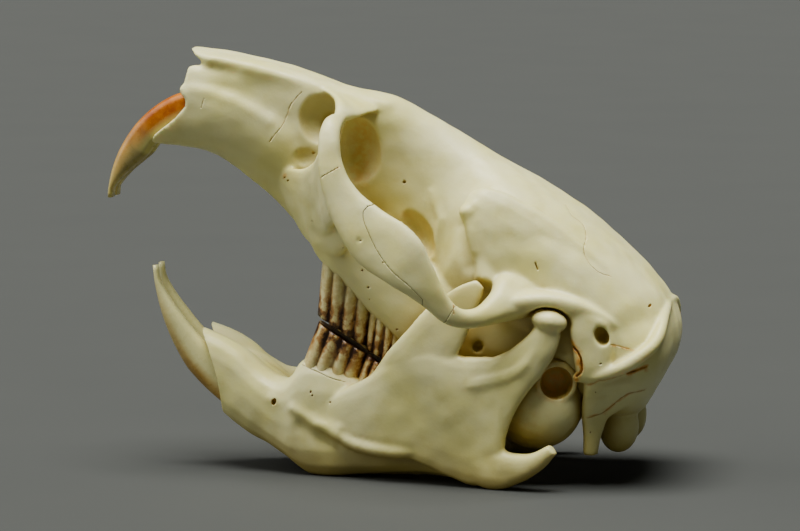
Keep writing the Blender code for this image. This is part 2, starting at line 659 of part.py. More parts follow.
def jaw_forms():
    body = strip([
        (24.3, 2.8, 17.2, 21.1, 2.5, 6.9, 4.4),
        (20.6, 3.0, 15.8, 18.3, 2.9, 4.8, 5.0),
        (18.4, 3.3, 14.5, 16.1, 3.2, 3.6, 5.2),
        (16.2, 3.7, 12.6, 14.3, 3.6, 2.9, 5.4),
        (14.0, 4.3, 11.4, 12.4, 4.2, 1.9, 5.5),
        (12.4, 4.7, 11.4, 11.0, 4.7, 0.8, 5.6),
        (10.8, 5.0, 13.6, 9.6, 5.1, -0.2, 5.6),
        (8.5, 5.3, 13.6, 7.0, 5.8, -0.3, 5.6),
        (5.0, 5.5, 12.2, 3.0, 6.1, 0.1, 5.4),
        (1.0, 5.6, 10.4, -1.5, 7.3, 0.5, 5.0),
        (-3.0, 6.0, 9.0, -5.5, 9.0, 0.7, 4.2),
        (-6.5, 7.6, 7.8, -8.8, 10.8, 0.7, 3.2),
        (-9.5, 10.4, 6.6, -11.6, 12.2, 0.3, 2.6),
    ], count=40, square=2.8)
    chin = strip([
        (22.6, 1.2, 14.8, 20.8, 1.2, 8.4, 2.6),
        (17.0, 1.2, 13.4, 15.6, 1.2, 4.6, 2.8),
        (12.0, 1.4, 9.8, 10.6, 1.4, 2.6, 2.8),
        (9.0, 2.0, 7.6, 8.0, 2.0, 2.6, 2.6),
    ])
    ramus = strip([
        (7.4, 7.0, 9.2, 6.8, 7.4, 4.8, 2.4),
        (4.4, 8.2, 11.2, 2.6, 8.8, 3.8, 2.6),
        (1.3, 9.2, 13.0, -1.2, 10.0, 3.2, 2.4),
        (-1.9, 10.2, 15.4, -4.8, 11.0, 2.2, 2.3),
        (-5.4, 11.3, 16.4, -8.6, 11.8, 0.7, 2.5),
        (-9.8, 11.9, 15.3, -11.6, 12.8, 0.3, 2.2),
        (-12.6, 12.5, 15.4, -13.4, 13.4, 2.0, 1.9),
        (-13.6, 12.8, 15.0, -14.4, 13.6, 5.0, 1.8),
    ], square=3.4)
    blade = strip([
        (3.4, 8.0, 10.6, -1.0, 9.6, 7.0, 1.6),
        (1.2, 9.0, 13.6, -3.6, 10.8, 9.6, 1.9),
        (-1.4, 10.2, 16.9, -6.6, 11.6, 12.8, 1.8),
        (-3.7, 11.0, 19.5, -8.8, 12.1, 15.6, 1.6),
        (-6.4, 11.7, 22.0, -10.2, 12.3, 18.8, 1.3),
        (-9.3, 12.2, 23.8, -11.6, 12.4, 22.0, 1.0),
        (-10.9, 12.2, 24.3, -11.8, 12.3, 23.4, 0.8),
    ])
    neck = strip([
        (-9.4, 11.9, 14.4, -14.4, 13.4, 5.4, 1.9),
        (-12.4, 12.5, 15.2, -15.2, 13.5, 8.0, 2.0),
        (-14.6, 12.8, 16.3, -16.8, 13.5, 11.0, 2.1),
        (-16.4, 13.0, 17.6, -18.9, 13.4, 13.8, 2.2),
        (-17.6, 13.1, 18.8, -20.6, 13.3, 16.8, 2.2),
        (-18.2, 13.0, 19.7, -20.9, 13.1, 18.2, 2.0),
    ], square=2.4)
    head = egg((-19.5, 13.0, 19.8), (2.15, 1.75, 1.3), (0, 12, 0))
    hook = strip([
        (-9.5, 12.2, 5.6, -10.5, 12.4, 0.4, 2.0),
        (-13.0, 12.9, 5.2, -13.6, 13.3, -0.2, 2.4),
        (-15.4, 13.6, 4.4, -16.2, 13.9, 0.8, 2.4),
        (-17.6, 14.2, 4.5, -18.5, 14.5, 2.3, 2.1),
        (-19.7, 14.9, 5.6, -20.6, 15.0, 4.6, 1.4),
    ])
    keel = rod([
        (11.6, 6.9, 7.8, 1.2), (9.6, 7.4, 6.5, 1.5), (7.0, 8.2, 5.5, 1.7), (4.5, 8.9, 4.5, 1.8),
        (1.0, 9.8, 3.8, 1.9), (-3.0, 10.7, 3.8, 1.8), (-6.6, 11.2, 4.6, 1.6), (-9.6, 11.6, 5.6, 1.3),
    ])
    line = rod([(6.6, 7.9, 6.4, 1.2), (3.5, 8.5, 7.2, 1.8), (1.2, 9.2, 8.8, 1.9), (-2.5, 10.4, 12.2, 1.6)])
    root = rod([
        (-0.6, 8.0, 10.2, 1.6), (-4.4, 9.5, 10.8, 2.4), (-8.2, 11.0, 11.5, 3.0), (-12.6, 12.5, 12.4, 2.9),
        (-16.2, 13.4, 14.0, 2.3), (-18.6, 13.3, 17.4, 2.0),
    ])
    return [body, chin, ramus, blade, neck, head, hook, keel, line, root]


# Assembly

def jaw_cuts():
    """Takes the bone away in front of the front tooth's socket, on the midline and below the floor."""
    exit_front = panel([
        (20.7, 6.4), (20.9, 9.0), (21.2, 11.0), (21.8, 13.0), (22.5, 15.0), (23.6, 17.4), (28.0, 19.0),
        (30.0, 8.0), (24.0, 4.0),
    ], -1.0, 9.0)
    return [exit_front, box((-40, -9, -9), (40, MIDLINE, 40)), box((-40, -1, -9), (40, 30, 0))]


def frames():
    """The middle of the skull's footprint, and the tilted frame of the cranium in it."""
    floor = bpy.data.objects.new("floor_frame", None)
    floor.location = (CENTRE_AHEAD * MM, 0, 0)
    tilted = bpy.data.objects.new("cranium_frame", None)
    tilted.location = (-SKULL_BACK * MM, 0, SKULL_UP * MM)
    tilted.rotation_euler = (0, radians(NOSE_UP), 0)
    tilted.parent = floor
    for frame in (floor, tilted):
        bpy.context.scene.collection.objects.link(frame)
    return floor, tilted


def make_cranium():
    made = fuse(object_of("cranium", core_forms()), CORE_VOXEL, CORE_ROUNDS)
    cut(made, both(side_hollows()))
    sides = fuse(object_of("sides", both(side_forms())), FINE_VOXEL, 0)
    combine(made, sides, "UNION")
    cut(made, deep_cuts())
    return thinned(largest(fuse(made, FINE_VOXEL, FINE_ROUNDS)), CRANIUM_FACES)


def make_incisor(name, forms, host):
    """Makes a front tooth and cuts its socket from the bone that holds it."""
    tooth = thinned(object_of(name, forms), INCISOR_FACES)
    combine(host, swollen(tooth, CLEAR), "DIFFERENCE")
    return tooth


def make_cheek(cranium, side, word):
    """Parts the cheek bone from the arch along its two seams."""
    cheek = swollen(cranium, 0)
    cheek.name = f"{word}_jugal"
    combine(cheek, object_of("own", on(side, [cheek_territory(-CLEAR / 2)])), "INTERSECT")
    cut(cranium, on(side, [cheek_territory(CLEAR / 2)]))
    return largest(cheek)


def make_jaw(word):
    made = fuse(object_of(f"{word}_mandible", jaw_forms()), FINE_VOXEL, FINE_ROUNDS)
    thinned(made, JAW_FACES)
    return cut(made, jaw_cuts())


def lower_molars_in_jaw():
    """The lower molars are laid out in the skull's frame, and belong to the jaw in the floor's frame."""
    c, s = cos(radians(NOSE_UP)), sin(radians(NOSE_UP))
    forms = []
    for points, faces in lower_molars():
        ahead = SKULL_BACK + c * points[:, 0] - s * points[:, 2]
        up = SKULL_UP + s * points[:, 0] + c * points[:, 2]
        forms.append((np.c_[ahead, points[:, 1], up], faces))
    return forms


def flipped(made):
    """Turns a left piece into the right one."""
    made.data.transform(Matrix.Diagonal((1, -1, 1, 1)))
    made.data.flip_normals()


def main():
    for old in list(bpy.data.objects):
        bpy.data.objects.remove(old)
    bone = material("bone", *BONE)
    dentine = material("dentine", *DENTINE)
    floor, tilted = frames()

    cranium = make_cranium()
    for side, word in ((LEFT, "left"), (RIGHT, "right")):
        capsule = object_of(f"{word}_auditory_bulla", on(side, bulla_forms()))
        bulla = fuse(capsule, FINE_VOXEL, FINE_ROUNDS)
        thinned(bulla, BULLA_FACES)
        combine(cranium, swollen(bulla, CLEAR), "DIFFERENCE")
        cut(bulla, on(side, [ear_hole(8, 12)]))
        tooth = make_incisor(f"{word}_upper_incisor", on(side, [incisor(UPPER_INCISOR)]), cranium)
        cheek = make_cheek(cranium, side, word)

        jaw = make_jaw(word)
        lower_tooth = make_incisor(f"{word}_lower_incisor", [incisor(LOWER_INCISOR)], jaw)
        fuse_teeth(jaw, lower_molars_in_jaw())
        if side == RIGHT:
            flipped(jaw)
            flipped(lower_tooth)

        for made in (largest(bulla), cheek):
            finished(made, bone, tilted)
        finished(tooth, dentine, tilted)
        finished(largest(jaw), bone, floor)
        finished(lower_tooth, dentine, floor)

    fuse_teeth(cranium, both(upper_molars()))
    finished(largest(cranium), bone, tilted)


main()
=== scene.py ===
"""Looks of the life-size muskrat skull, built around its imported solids.

Metres, +Z up, nose towards -X, the animal's left side towards -Y.
Forms are given in millimetres as ahead (towards the nose), left (of the midline) and up.
"""

from math import cos, pi, radians, sin

import bmesh
import bpy
import numpy as np
from mathutils import Matrix, Vector


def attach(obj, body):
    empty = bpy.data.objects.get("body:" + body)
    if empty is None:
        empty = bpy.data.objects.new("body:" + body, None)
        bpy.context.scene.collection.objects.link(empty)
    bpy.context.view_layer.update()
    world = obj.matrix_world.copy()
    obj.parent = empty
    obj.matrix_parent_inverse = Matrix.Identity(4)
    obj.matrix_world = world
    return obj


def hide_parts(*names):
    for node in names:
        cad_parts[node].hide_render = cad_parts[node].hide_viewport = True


MM = 0.001
LEFT, RIGHT = 1, -1
MESH_WAYS = np.array([-1, -1, 1])      # ahead is the mesh's -X, and left its -Y
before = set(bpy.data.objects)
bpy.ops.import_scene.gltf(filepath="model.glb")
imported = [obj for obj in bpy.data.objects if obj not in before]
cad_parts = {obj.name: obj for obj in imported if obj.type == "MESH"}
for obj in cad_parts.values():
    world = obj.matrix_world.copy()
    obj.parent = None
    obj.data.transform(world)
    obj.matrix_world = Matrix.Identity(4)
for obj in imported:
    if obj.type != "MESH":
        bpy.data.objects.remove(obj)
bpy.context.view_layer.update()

# Driving sizes of the skull, in millimetres and degrees, as in the solids
NOSE_UP = 29.0            # pitch of the skull above the floor
SKULL_BACK = -23.42       # place of the skull's own zero in the jaws' frame, ahead
SKULL_UP = 0.51           # and up
BRAINCASE_HALF = 12.2
ARCH_HALF = 19.4          # half the greatest width, over the middle of the cheek arches
CHEWING_GAP = 0.35        # half the gap between the upper and the lower molars
CHEWING_SLOPE = 0.06      # rise of the chewing plane for each millimetre ahead
CHEWING_LEVEL = 33.0      # where that plane crosses the skull's own zero, ahead
MIDLINE = 0.15            # half the gap between the two lower jaws
CENTRE_AHEAD = 0.81       # middle of the whole length, ahead of the jaws' zero

# Mesh density and gaps
CORE_VOXEL = 0.4
FINE_VOXEL = 0.21
SOFTENING = 7
CORE_SOFTENING = 8
SEAM = 0.07            # gap of a seam between two bones
SOLVER = "MANIFOLD"    # the quick one, for fine closed meshes


# Curves and closed forms

USUAL_END = (0.5, 2.4, 0)      # the last three numbers of a trunk's row


def smooth_rows(rows, count):
    """Returns count rows spaced evenly along a smooth curve through rows."""
    rows = np.asarray(rows, float)
    place = np.r_[0, np.cumsum(np.linalg.norm(np.diff(rows, axis=0), axis=1))]
    slope = np.gradient(rows, place, axis=0)
    at = np.linspace(0, place[-1], count)
    i = np.clip(np.searchsorted(place, at, side="right") - 1, 0, len(rows) - 2)
    span = (place[i + 1] - place[i])[:, None]
    t = (at - place[i])[:, None] / span
    start = (2 * t**3 - 3 * t**2 + 1) * rows[i] + (t**3 - 2 * t**2 + t) * span * slope[i]
    end = (3 * t**2 - 2 * t**3) * rows[i + 1] + (t**3 - t**2) * span * slope[i + 1]
    return start + end


def rounded(sides, square):
    """Cosine and sine of a closed outline that is an ellipse at square 2 and nearer a box above it."""
    turn = np.linspace(0, 2 * pi, sides, endpoint=False)
    c, s = np.cos(turn), np.sin(turn)
    return np.sign(c) * np.abs(c) ** (2 / square), np.sign(s) * np.abs(s) ** (2 / square)


def skinned(rings):
    """A closed form, as points and faces, through rings of equal size."""
    sides = len(rings[0])
    points = np.concatenate(rings)
    faces = [tuple(range(sides))[::-1]]
    for start in range(0, sides * (len(rings) - 1), sides):
        for k in range(sides):
            after = (k + 1) % sides
            faces.append((start + k, start + after, start + sides + after, start + sides + k))
    faces.append(tuple(range(len(points) - sides, len(points))))
    return points, faces


def trunk(rows, count=30, sides=32):
    """A form lofted along the skull. Each row is ahead, top, bottom and half width, and where they aren't
    the usual ones, its widest height (0 to 1), squareness and offset to the left."""
    rows = [(*row, *USUAL_END[len(row) - 4:]) for row in rows]
    rings = []
    for ahead, top, bottom, half, widest, square, left in smooth_rows(rows, count):
        c, s = rounded(sides, square)
        middle = bottom + widest * (top - bottom)
        up = middle + np.where(s > 0, (top - middle) * s, (middle - bottom) * s)
        rings.append(np.c_[np.full(sides, ahead), left + half * c, up])
    return skinned(rings)


def strip(rows, count=24, sides=16, square=2.6):
    """A flattened form between two edges. Each row is ahead, left, up of one edge, the same of the other
    edge, and the thickness between the two faces."""
    rows = smooth_rows(rows, count)
    middles = (rows[:, :3] + rows[:, 3:6]) / 2
    c, s = rounded(sides, square)
    rings = []
    for row, middle, along in zip(rows, middles, np.gradient(middles, axis=0)):
        across = (row[:3] - row[3:6]) / 2
        face = np.cross(along, across)
        face *= row[6] / 2 / np.linalg.norm(face)
        rings.append(middle + np.outer(s, across) + np.outer(c, face))
    return skinned(rings)


def rod(rows, count=16, sides=12):
    """A round form. Each row is ahead, left, up and diameter."""
    rows = smooth_rows(rows, count)
    c, s = rounded(sides, 2)
    rings = []
    for row, along in zip(rows, np.gradient(rows[:, :3], axis=0)):
        aside = np.eye(3)[np.argmin(np.abs(along))]
        first = np.cross(along, aside)
        second = np.cross(along, first)
        first *= row[3] / 2 / np.linalg.norm(first)
        second *= row[3] / 2 / np.linalg.norm(second)
        rings.append(row[:3] + np.outer(c, first) + np.outer(s, second))
    return skinned(aligned(rings))


def aligned(rings):
    """Turns the start of each ring to the point nearest the start of the ring before it."""
    made = [rings[0]]
    for ring in rings[1:]:
        nearest = np.argmin(np.linalg.norm(ring - ring.mean(0) - made[-1][0] + made[-1].mean(0), axis=1))
        made.append(np.roll(ring, -nearest, axis=0))
    return made


def egg(centre, radii, turn=(0, 0, 0), rings=18, sides=24):
    """An ellipsoid, with radii ahead, left and up, turned in degrees about those axes in turn."""
    angles = np.linspace(0, pi, rings + 2)[1:-1]
    c, s = rounded(sides, 2)
    points, faces = skinned([np.c_[np.full(sides, -cos(a)), sin(a) * c, sin(a) * s] for a in angles])
    points = points * np.array(radii)
    for axis, angle in enumerate(turn):
        first, second = [k for k in range(3) if k != axis]
        c, s = cos(radians(angle)), sin(radians(angle))
        turned = points.copy()
        turned[:, first] = c * points[:, first] - s * points[:, second]
        turned[:, second] = s * points[:, first] + c * points[:, second]
        points = turned
    return points + np.array(centre), faces


def box(low, high):
    """A block between two corners, each ahead, left and up."""
    corners = [(low[1], low[2]), (high[1], low[2]), (high[1], high[2]), (low[1], high[2])]
    return skinned([np.array([(ahead, *corner) for corner in corners]) for ahead in (low[0], high[0])])


def panel(outline, inner, outer):
    """A plate with an outline of ahead and up, from inner to outer to the left."""
    return skinned([np.array([(a, left, u) for a, u in outline], float) for left in (inner, outer)])


def mirrored(form):
    points, faces = form
    return points * np.array([1, -1, 1]), faces


def both(forms):
    """The forms of the left side and of the right."""
    return forms + [mirrored(form) for form in forms]


def on(side, forms):
    """The forms of the left side, put on that side."""
    return [form if side == LEFT else mirrored(form) for form in forms]


# Meshes

def object_of(name, forms):
    """An object with all the forms, in metres."""
    points, faces, start = [], [], 0
    for form_points, form_faces in forms:
        points.append(form_points * MESH_WAYS * MM)
        faces += [tuple(k + start for k in face) for face in form_faces]
        start += len(form_points)
    mesh = bpy.data.meshes.new(name)
    mesh.from_pydata(np.concatenate(points).tolist(), [], faces)
    work = bmesh.new()
    work.from_mesh(mesh)
    bmesh.ops.recalc_face_normals(work, faces=work.faces)
    bmesh.ops.triangulate(work, faces=[face for face in work.faces if len(face.verts) > 4])
    work.to_mesh(mesh)
    work.free()
    made = bpy.data.objects.new(name, mesh)
    bpy.context.scene.collection.objects.link(made)
    return made


def settled(made):
    """Applies the object's modifiers to its mesh."""
    bpy.context.view_layer.update()
    mesh = bpy.data.meshes.new_from_object(made.evaluated_get(bpy.context.evaluated_depsgraph_get()))
    old = made.data
    made.modifiers.clear()
    made.data = mesh
    bpy.data.meshes.remove(old)
    return made


def fuse(made, voxel, rounds):
    """Makes overlapping forms one skin, and softens it."""
    remesh = made.modifiers.new("fuse", "REMESH")
    remesh.mode = "VOXEL"
    remesh.voxel_size = voxel * MM
    soften = made.modifiers.new("soften", "SMOOTH")
    soften.factor = 0.5
    soften.iterations = rounds
    return settled(made)


def combine(made, other, operation):
    """Joins or cuts the object with another, which is then removed."""
    step = made.modifiers.new(operation.lower(), "BOOLEAN")
    step.operation = operation
    step.solver = SOLVER
    step.object = other
    settled(made)
    bpy.data.objects.remove(other)
    return made


def cut(made, forms):
    """Cuts closed forms out of the object, one at a time."""
    for form in forms:
        combine(made, object_of("cutter", [form]), "DIFFERENCE")
    return made


def largest(made):
    """Keeps only the largest closed surface of the object."""
    work = bmesh.new()
    work.from_mesh(made.data)
    unseen, islands = set(work.verts), []
    while unseen:
        start = unseen.pop()
        island, open_ends = {start}, [start]
        while open_ends:
            vert = open_ends.pop()
            for other in (edge.other_vert(vert) for edge in vert.link_edges):
                if other in unseen:
                    unseen.discard(other)
                    island.add(other)
                    open_ends.append(other)
        islands.append(island)
    islands.sort(key=len)
    scraps = [vert for island in islands[:-1] for vert in island]
    bmesh.ops.delete(work, geom=scraps, context="VERTS")
    work.to_mesh(made.data)
    work.free()
    return made


def swollen(made, by):
    """A copy of the object grown outwards along its normals, in millimetres."""
    copy = made.copy()
    copy.data = made.data.copy()
    bpy.context.scene.collection.objects.link(copy)
    work = bmesh.new()
    work.from_mesh(copy.data)
    work.normal_update()
    shifts = [vert.normal * by * MM for vert in work.verts]
    for vert, shift in zip(work.verts, shifts):
        vert.co += shift
    work.to_mesh(copy.data)
    work.free()
    return copy


# Forms of the skull, the same as the solids'

UPPER_INCISOR = {
    "circle": (53.6, 5.9, 14.5), "start": 54, "stop": -26.5,
    "depth": (3.2, 3.5, 3.4, 3.4, 3.0), "width": (2.3, 2.6, 2.7, 2.7, 2.4),
    "left": (2.9, 1.95, 1.6, 1.5, 1.4), "sunk": (0.5, 0.1, 0, 0, 0), "bevel": 0.36,
}
LOWER_INCISOR = {
    "circle": (4.0, 26.8, 25.8), "start": -64, "stop": -6,
    "depth": (3.4, 3.8, 3.7, 3.6, 3.2), "width": (2.6, 2.7, 2.7, 2.5, 1.5),
    "left": (3.2, 2.6, 2.2, 2.0, 1.6), "sunk": (2.3, 0.4, -0.25, -0.1, 0), "bevel": 0.5,
}
TIP_DEPTH = 0.6        # thickness left at the chisel edge
WEAR_CURVE = 1.3       # how suddenly the worn side bends in
MOLARS = ((6.9, 4), (4.6, 4), (4.2, 3))      # length and lobes of the first, second and third
MOLAR_OVERLAP = 0.05


def incisor(tooth, steps=70):
    """A tooth along its circle; over the share called bevel its inner side is worn to a chisel edge."""
    ahead, up, radius = tooth["circle"]
    rows = []
    for share in np.linspace(0, 1, steps):
        depth, width, left, sunk = [
            np.interp(share, np.linspace(0, 1, len(tooth[key])), tooth[key])
            for key in ("depth", "width", "left", "sunk")
        ]
        worn = max(0.0, (share - 1 + tooth["bevel"]) / tooth["bevel"])
        depth = max(depth * (1 - worn**WEAR_CURVE), TIP_DEPTH)
        angle = radians(tooth["start"] + (tooth["stop"] - tooth["start"]) * share)
        outer, inner = radius - sunk, radius - sunk - depth
        rows.append((
            ahead + outer * cos(angle), left, up + outer * sin(angle),
            ahead + inner * cos(angle), left, up + inner * sin(angle), width,
        ))
    return strip(rows, count=34, sides=16, square=2.8)


def core_forms():
    """The braincase, the snout, the palate and the bone around the tooth roots."""
    vault = trunk([
        (-1.6, 17, 9.4, 5.8, 0.5, 2.3), (-0.9, 19.2, 8.4, 9.4),
        (0.6, 21.2, 7.4, 11.4), (3, 22.9, 6.6, 12.1, 0.48, 2.5),
        (6, 24.1, 6.3, BRAINCASE_HALF, 0.5, 2.5), (10, 25.2, 6.2, BRAINCASE_HALF, 0.54, 2.5),
        (15, 26.3, 6.2, 11.8, 0.58, 2.4), (20, 26.8, 6.5, 11.2, 0.6, 2.4),
        (23.5, 26.9, 7.2, 10.6, 0.62, 2.3), (26, 26.9, 8.2, 9.4, 0.62, 2.2),
        (28, 27, 9.4, 7.4, 0.62, 2.1), (30.5, 27.1, 10.4, 5.4, 0.6, 2.1),
        (34, 27.2, 11, 4.2, 0.62, 2.1), (38, 27.1, 11, 3.6, 0.7, 2.2),
        (42, 27.1, 10.5, 3.9, 0.76, 2.4), (46, 25.9, 10, 4.4, 0.6, 2.2),
        (50, 24.8, 10.2, 4.8, 0.6, 2.2),
    ], count=48)
    base = trunk([
        (-0.4, 13, 6.3, 3.6), (4, 14, 5.6, 3.4), (12, 14, 6, 2.6), (20, 14, 6.6, 2.2), (26, 14, 7, 2.4),
    ])
    rostrum = trunk([
        (37, 24, 10.5, 1.6, 0.5, 2.2), (40, 24.6, 10, 3, 0.5, 2.3),
        (43, 25.2, 9.4, 4.2, 0.6, 2.5), (46.5, 25.1, 8.6, 4.7, 0.76, 2.8),
        (50, 24.6, 9.2, 4.7, 0.84, 2.8), (55, 23.4, 10, 4.5, 0.85, 2.8),
        (60, 21.4, 9.8, 4.4, 0.8, 2.8), (63.4, 20, 8.6, 4.4, 0.7, 2.8),
        (66.2, 19.2, 7.8, 4.3, 0.6, 2.8),
    ])
    nasals = trunk([
        (42, 27, 23, 3.6, 0.5, 2.8), (48, 25.2, 22.4, 4.2, 0.5, 3.2),
        (55, 23.8, 21.3, 4.5, 0.45, 3.2), (60, 22.4, 20.4, 4.4, 0.45, 3),
        (62.6, 21.5, 19.7, 4.3, 0.45, 3), (64.6, 20.7, 19.2, 3.7, 0.45, 2.8),
        (66, 20.2, 19.2, 2.7, 0.5, 2.6), (67, 19.8, 19.3, 1.3),
    ])
    palate = trunk([
        (66.2, 12, 7.4, 3), (62, 13, 9, 2.9),
        (58, 13, 10.1, 2.8), (53, 13, 9.7, 2.9),
        (48, 13, 8.8, 3.3), (44, 13, 7.6, 4.2, 0.5, 2.6),
        (40, 13, 6.6, 4.6, 0.5, 3), (34, 13, 5.6, 4.4, 0.5, 3),
        (28, 12.5, 4.8, 4.2, 0.5, 3), (24.6, 11.5, 4.6, 3.4, 0.5, 3),
    ])
    capsule = strip([
        (66.2, 3, 16.4, 65.8, 2.1, 7.4, 4.5), (61.5, 3.5, 18.2, 61, 2, 9.6, 4.7),
        (56, 3.7, 19, 56, 1.9, 11.2, 4.7), (51, 3.4, 18.8, 51, 2.1, 11.8, 4.7),
        (46, 2.6, 16.6, 46, 2.6, 11.4, 4.4),
    ], square=2.2)
    alveolus = trunk([
        (43.4, 15, 8.4, 1.8, 0.5, 2.4, 4.6), (41.4, 15, 6.8, 2.5, 0.5, 2.8, 4.9),
        (38, 14.5, 5.6, 2.8, 0.45, 3, 5.1), (34, 13.6, 4.5, 2.9, 0.45, 3, 5.2),
        (30, 12.6, 3.3, 2.8, 0.45, 3, 5.2), (26, 11.6, 2.2, 2.6, 0.45, 2.8, 5.1),
        (22.8, 10.4, 2.2, 2.2, 0.5, 2.4, 4.9), (21.2, 9.4, 4, 1.4, 0.5, 2.4, 4.6),
    ])
    return [vault, base, rostrum, nasals, palate] + both([capsule, alveolus])


def side_hollows():
    """The passage in front of the eye socket, the socket, and the room for the jaw's joint head."""
    opening = egg((48.1, 6.0, 20.9), (3.2, 3.0, 3.5), (0, -38, 0))
    passage = egg((47.0, 4.6, 20.4), (1.4, 2.6, 2.3), (0, -38, 0))
    pit = egg((47.6, 6.6, 16.1), (2.2, 2.4, 1.9), (0, -29, 0))
    socket = egg((42.0, 12.4, 19.4), (6.4, 9.0, 6.2), (0, 25, 0))
    socket_front = egg((42.3, 5.6, 19.4), (3.1, 3.4, 4.9), (0, -30, 0))
    socket_floor = egg((32.2, 6.8, 14.8), (4.2, 4.1, 2.2), (0, 27, 0))
    joint = strip([
        (20, 12.6, 15, 18, 12.6, 9, 3.2), (15, 12.9, 16.6, 13, 12.9, 9.6, 3.6),
        (11.4, 13, 17, 9.4, 13, 10.8, 3.6), (8.4, 13.4, 15.6, 7.6, 13.4, 12.4, 2.4),
    ])
    return [opening, passage, pit, socket, socket_front, socket_floor, joint]


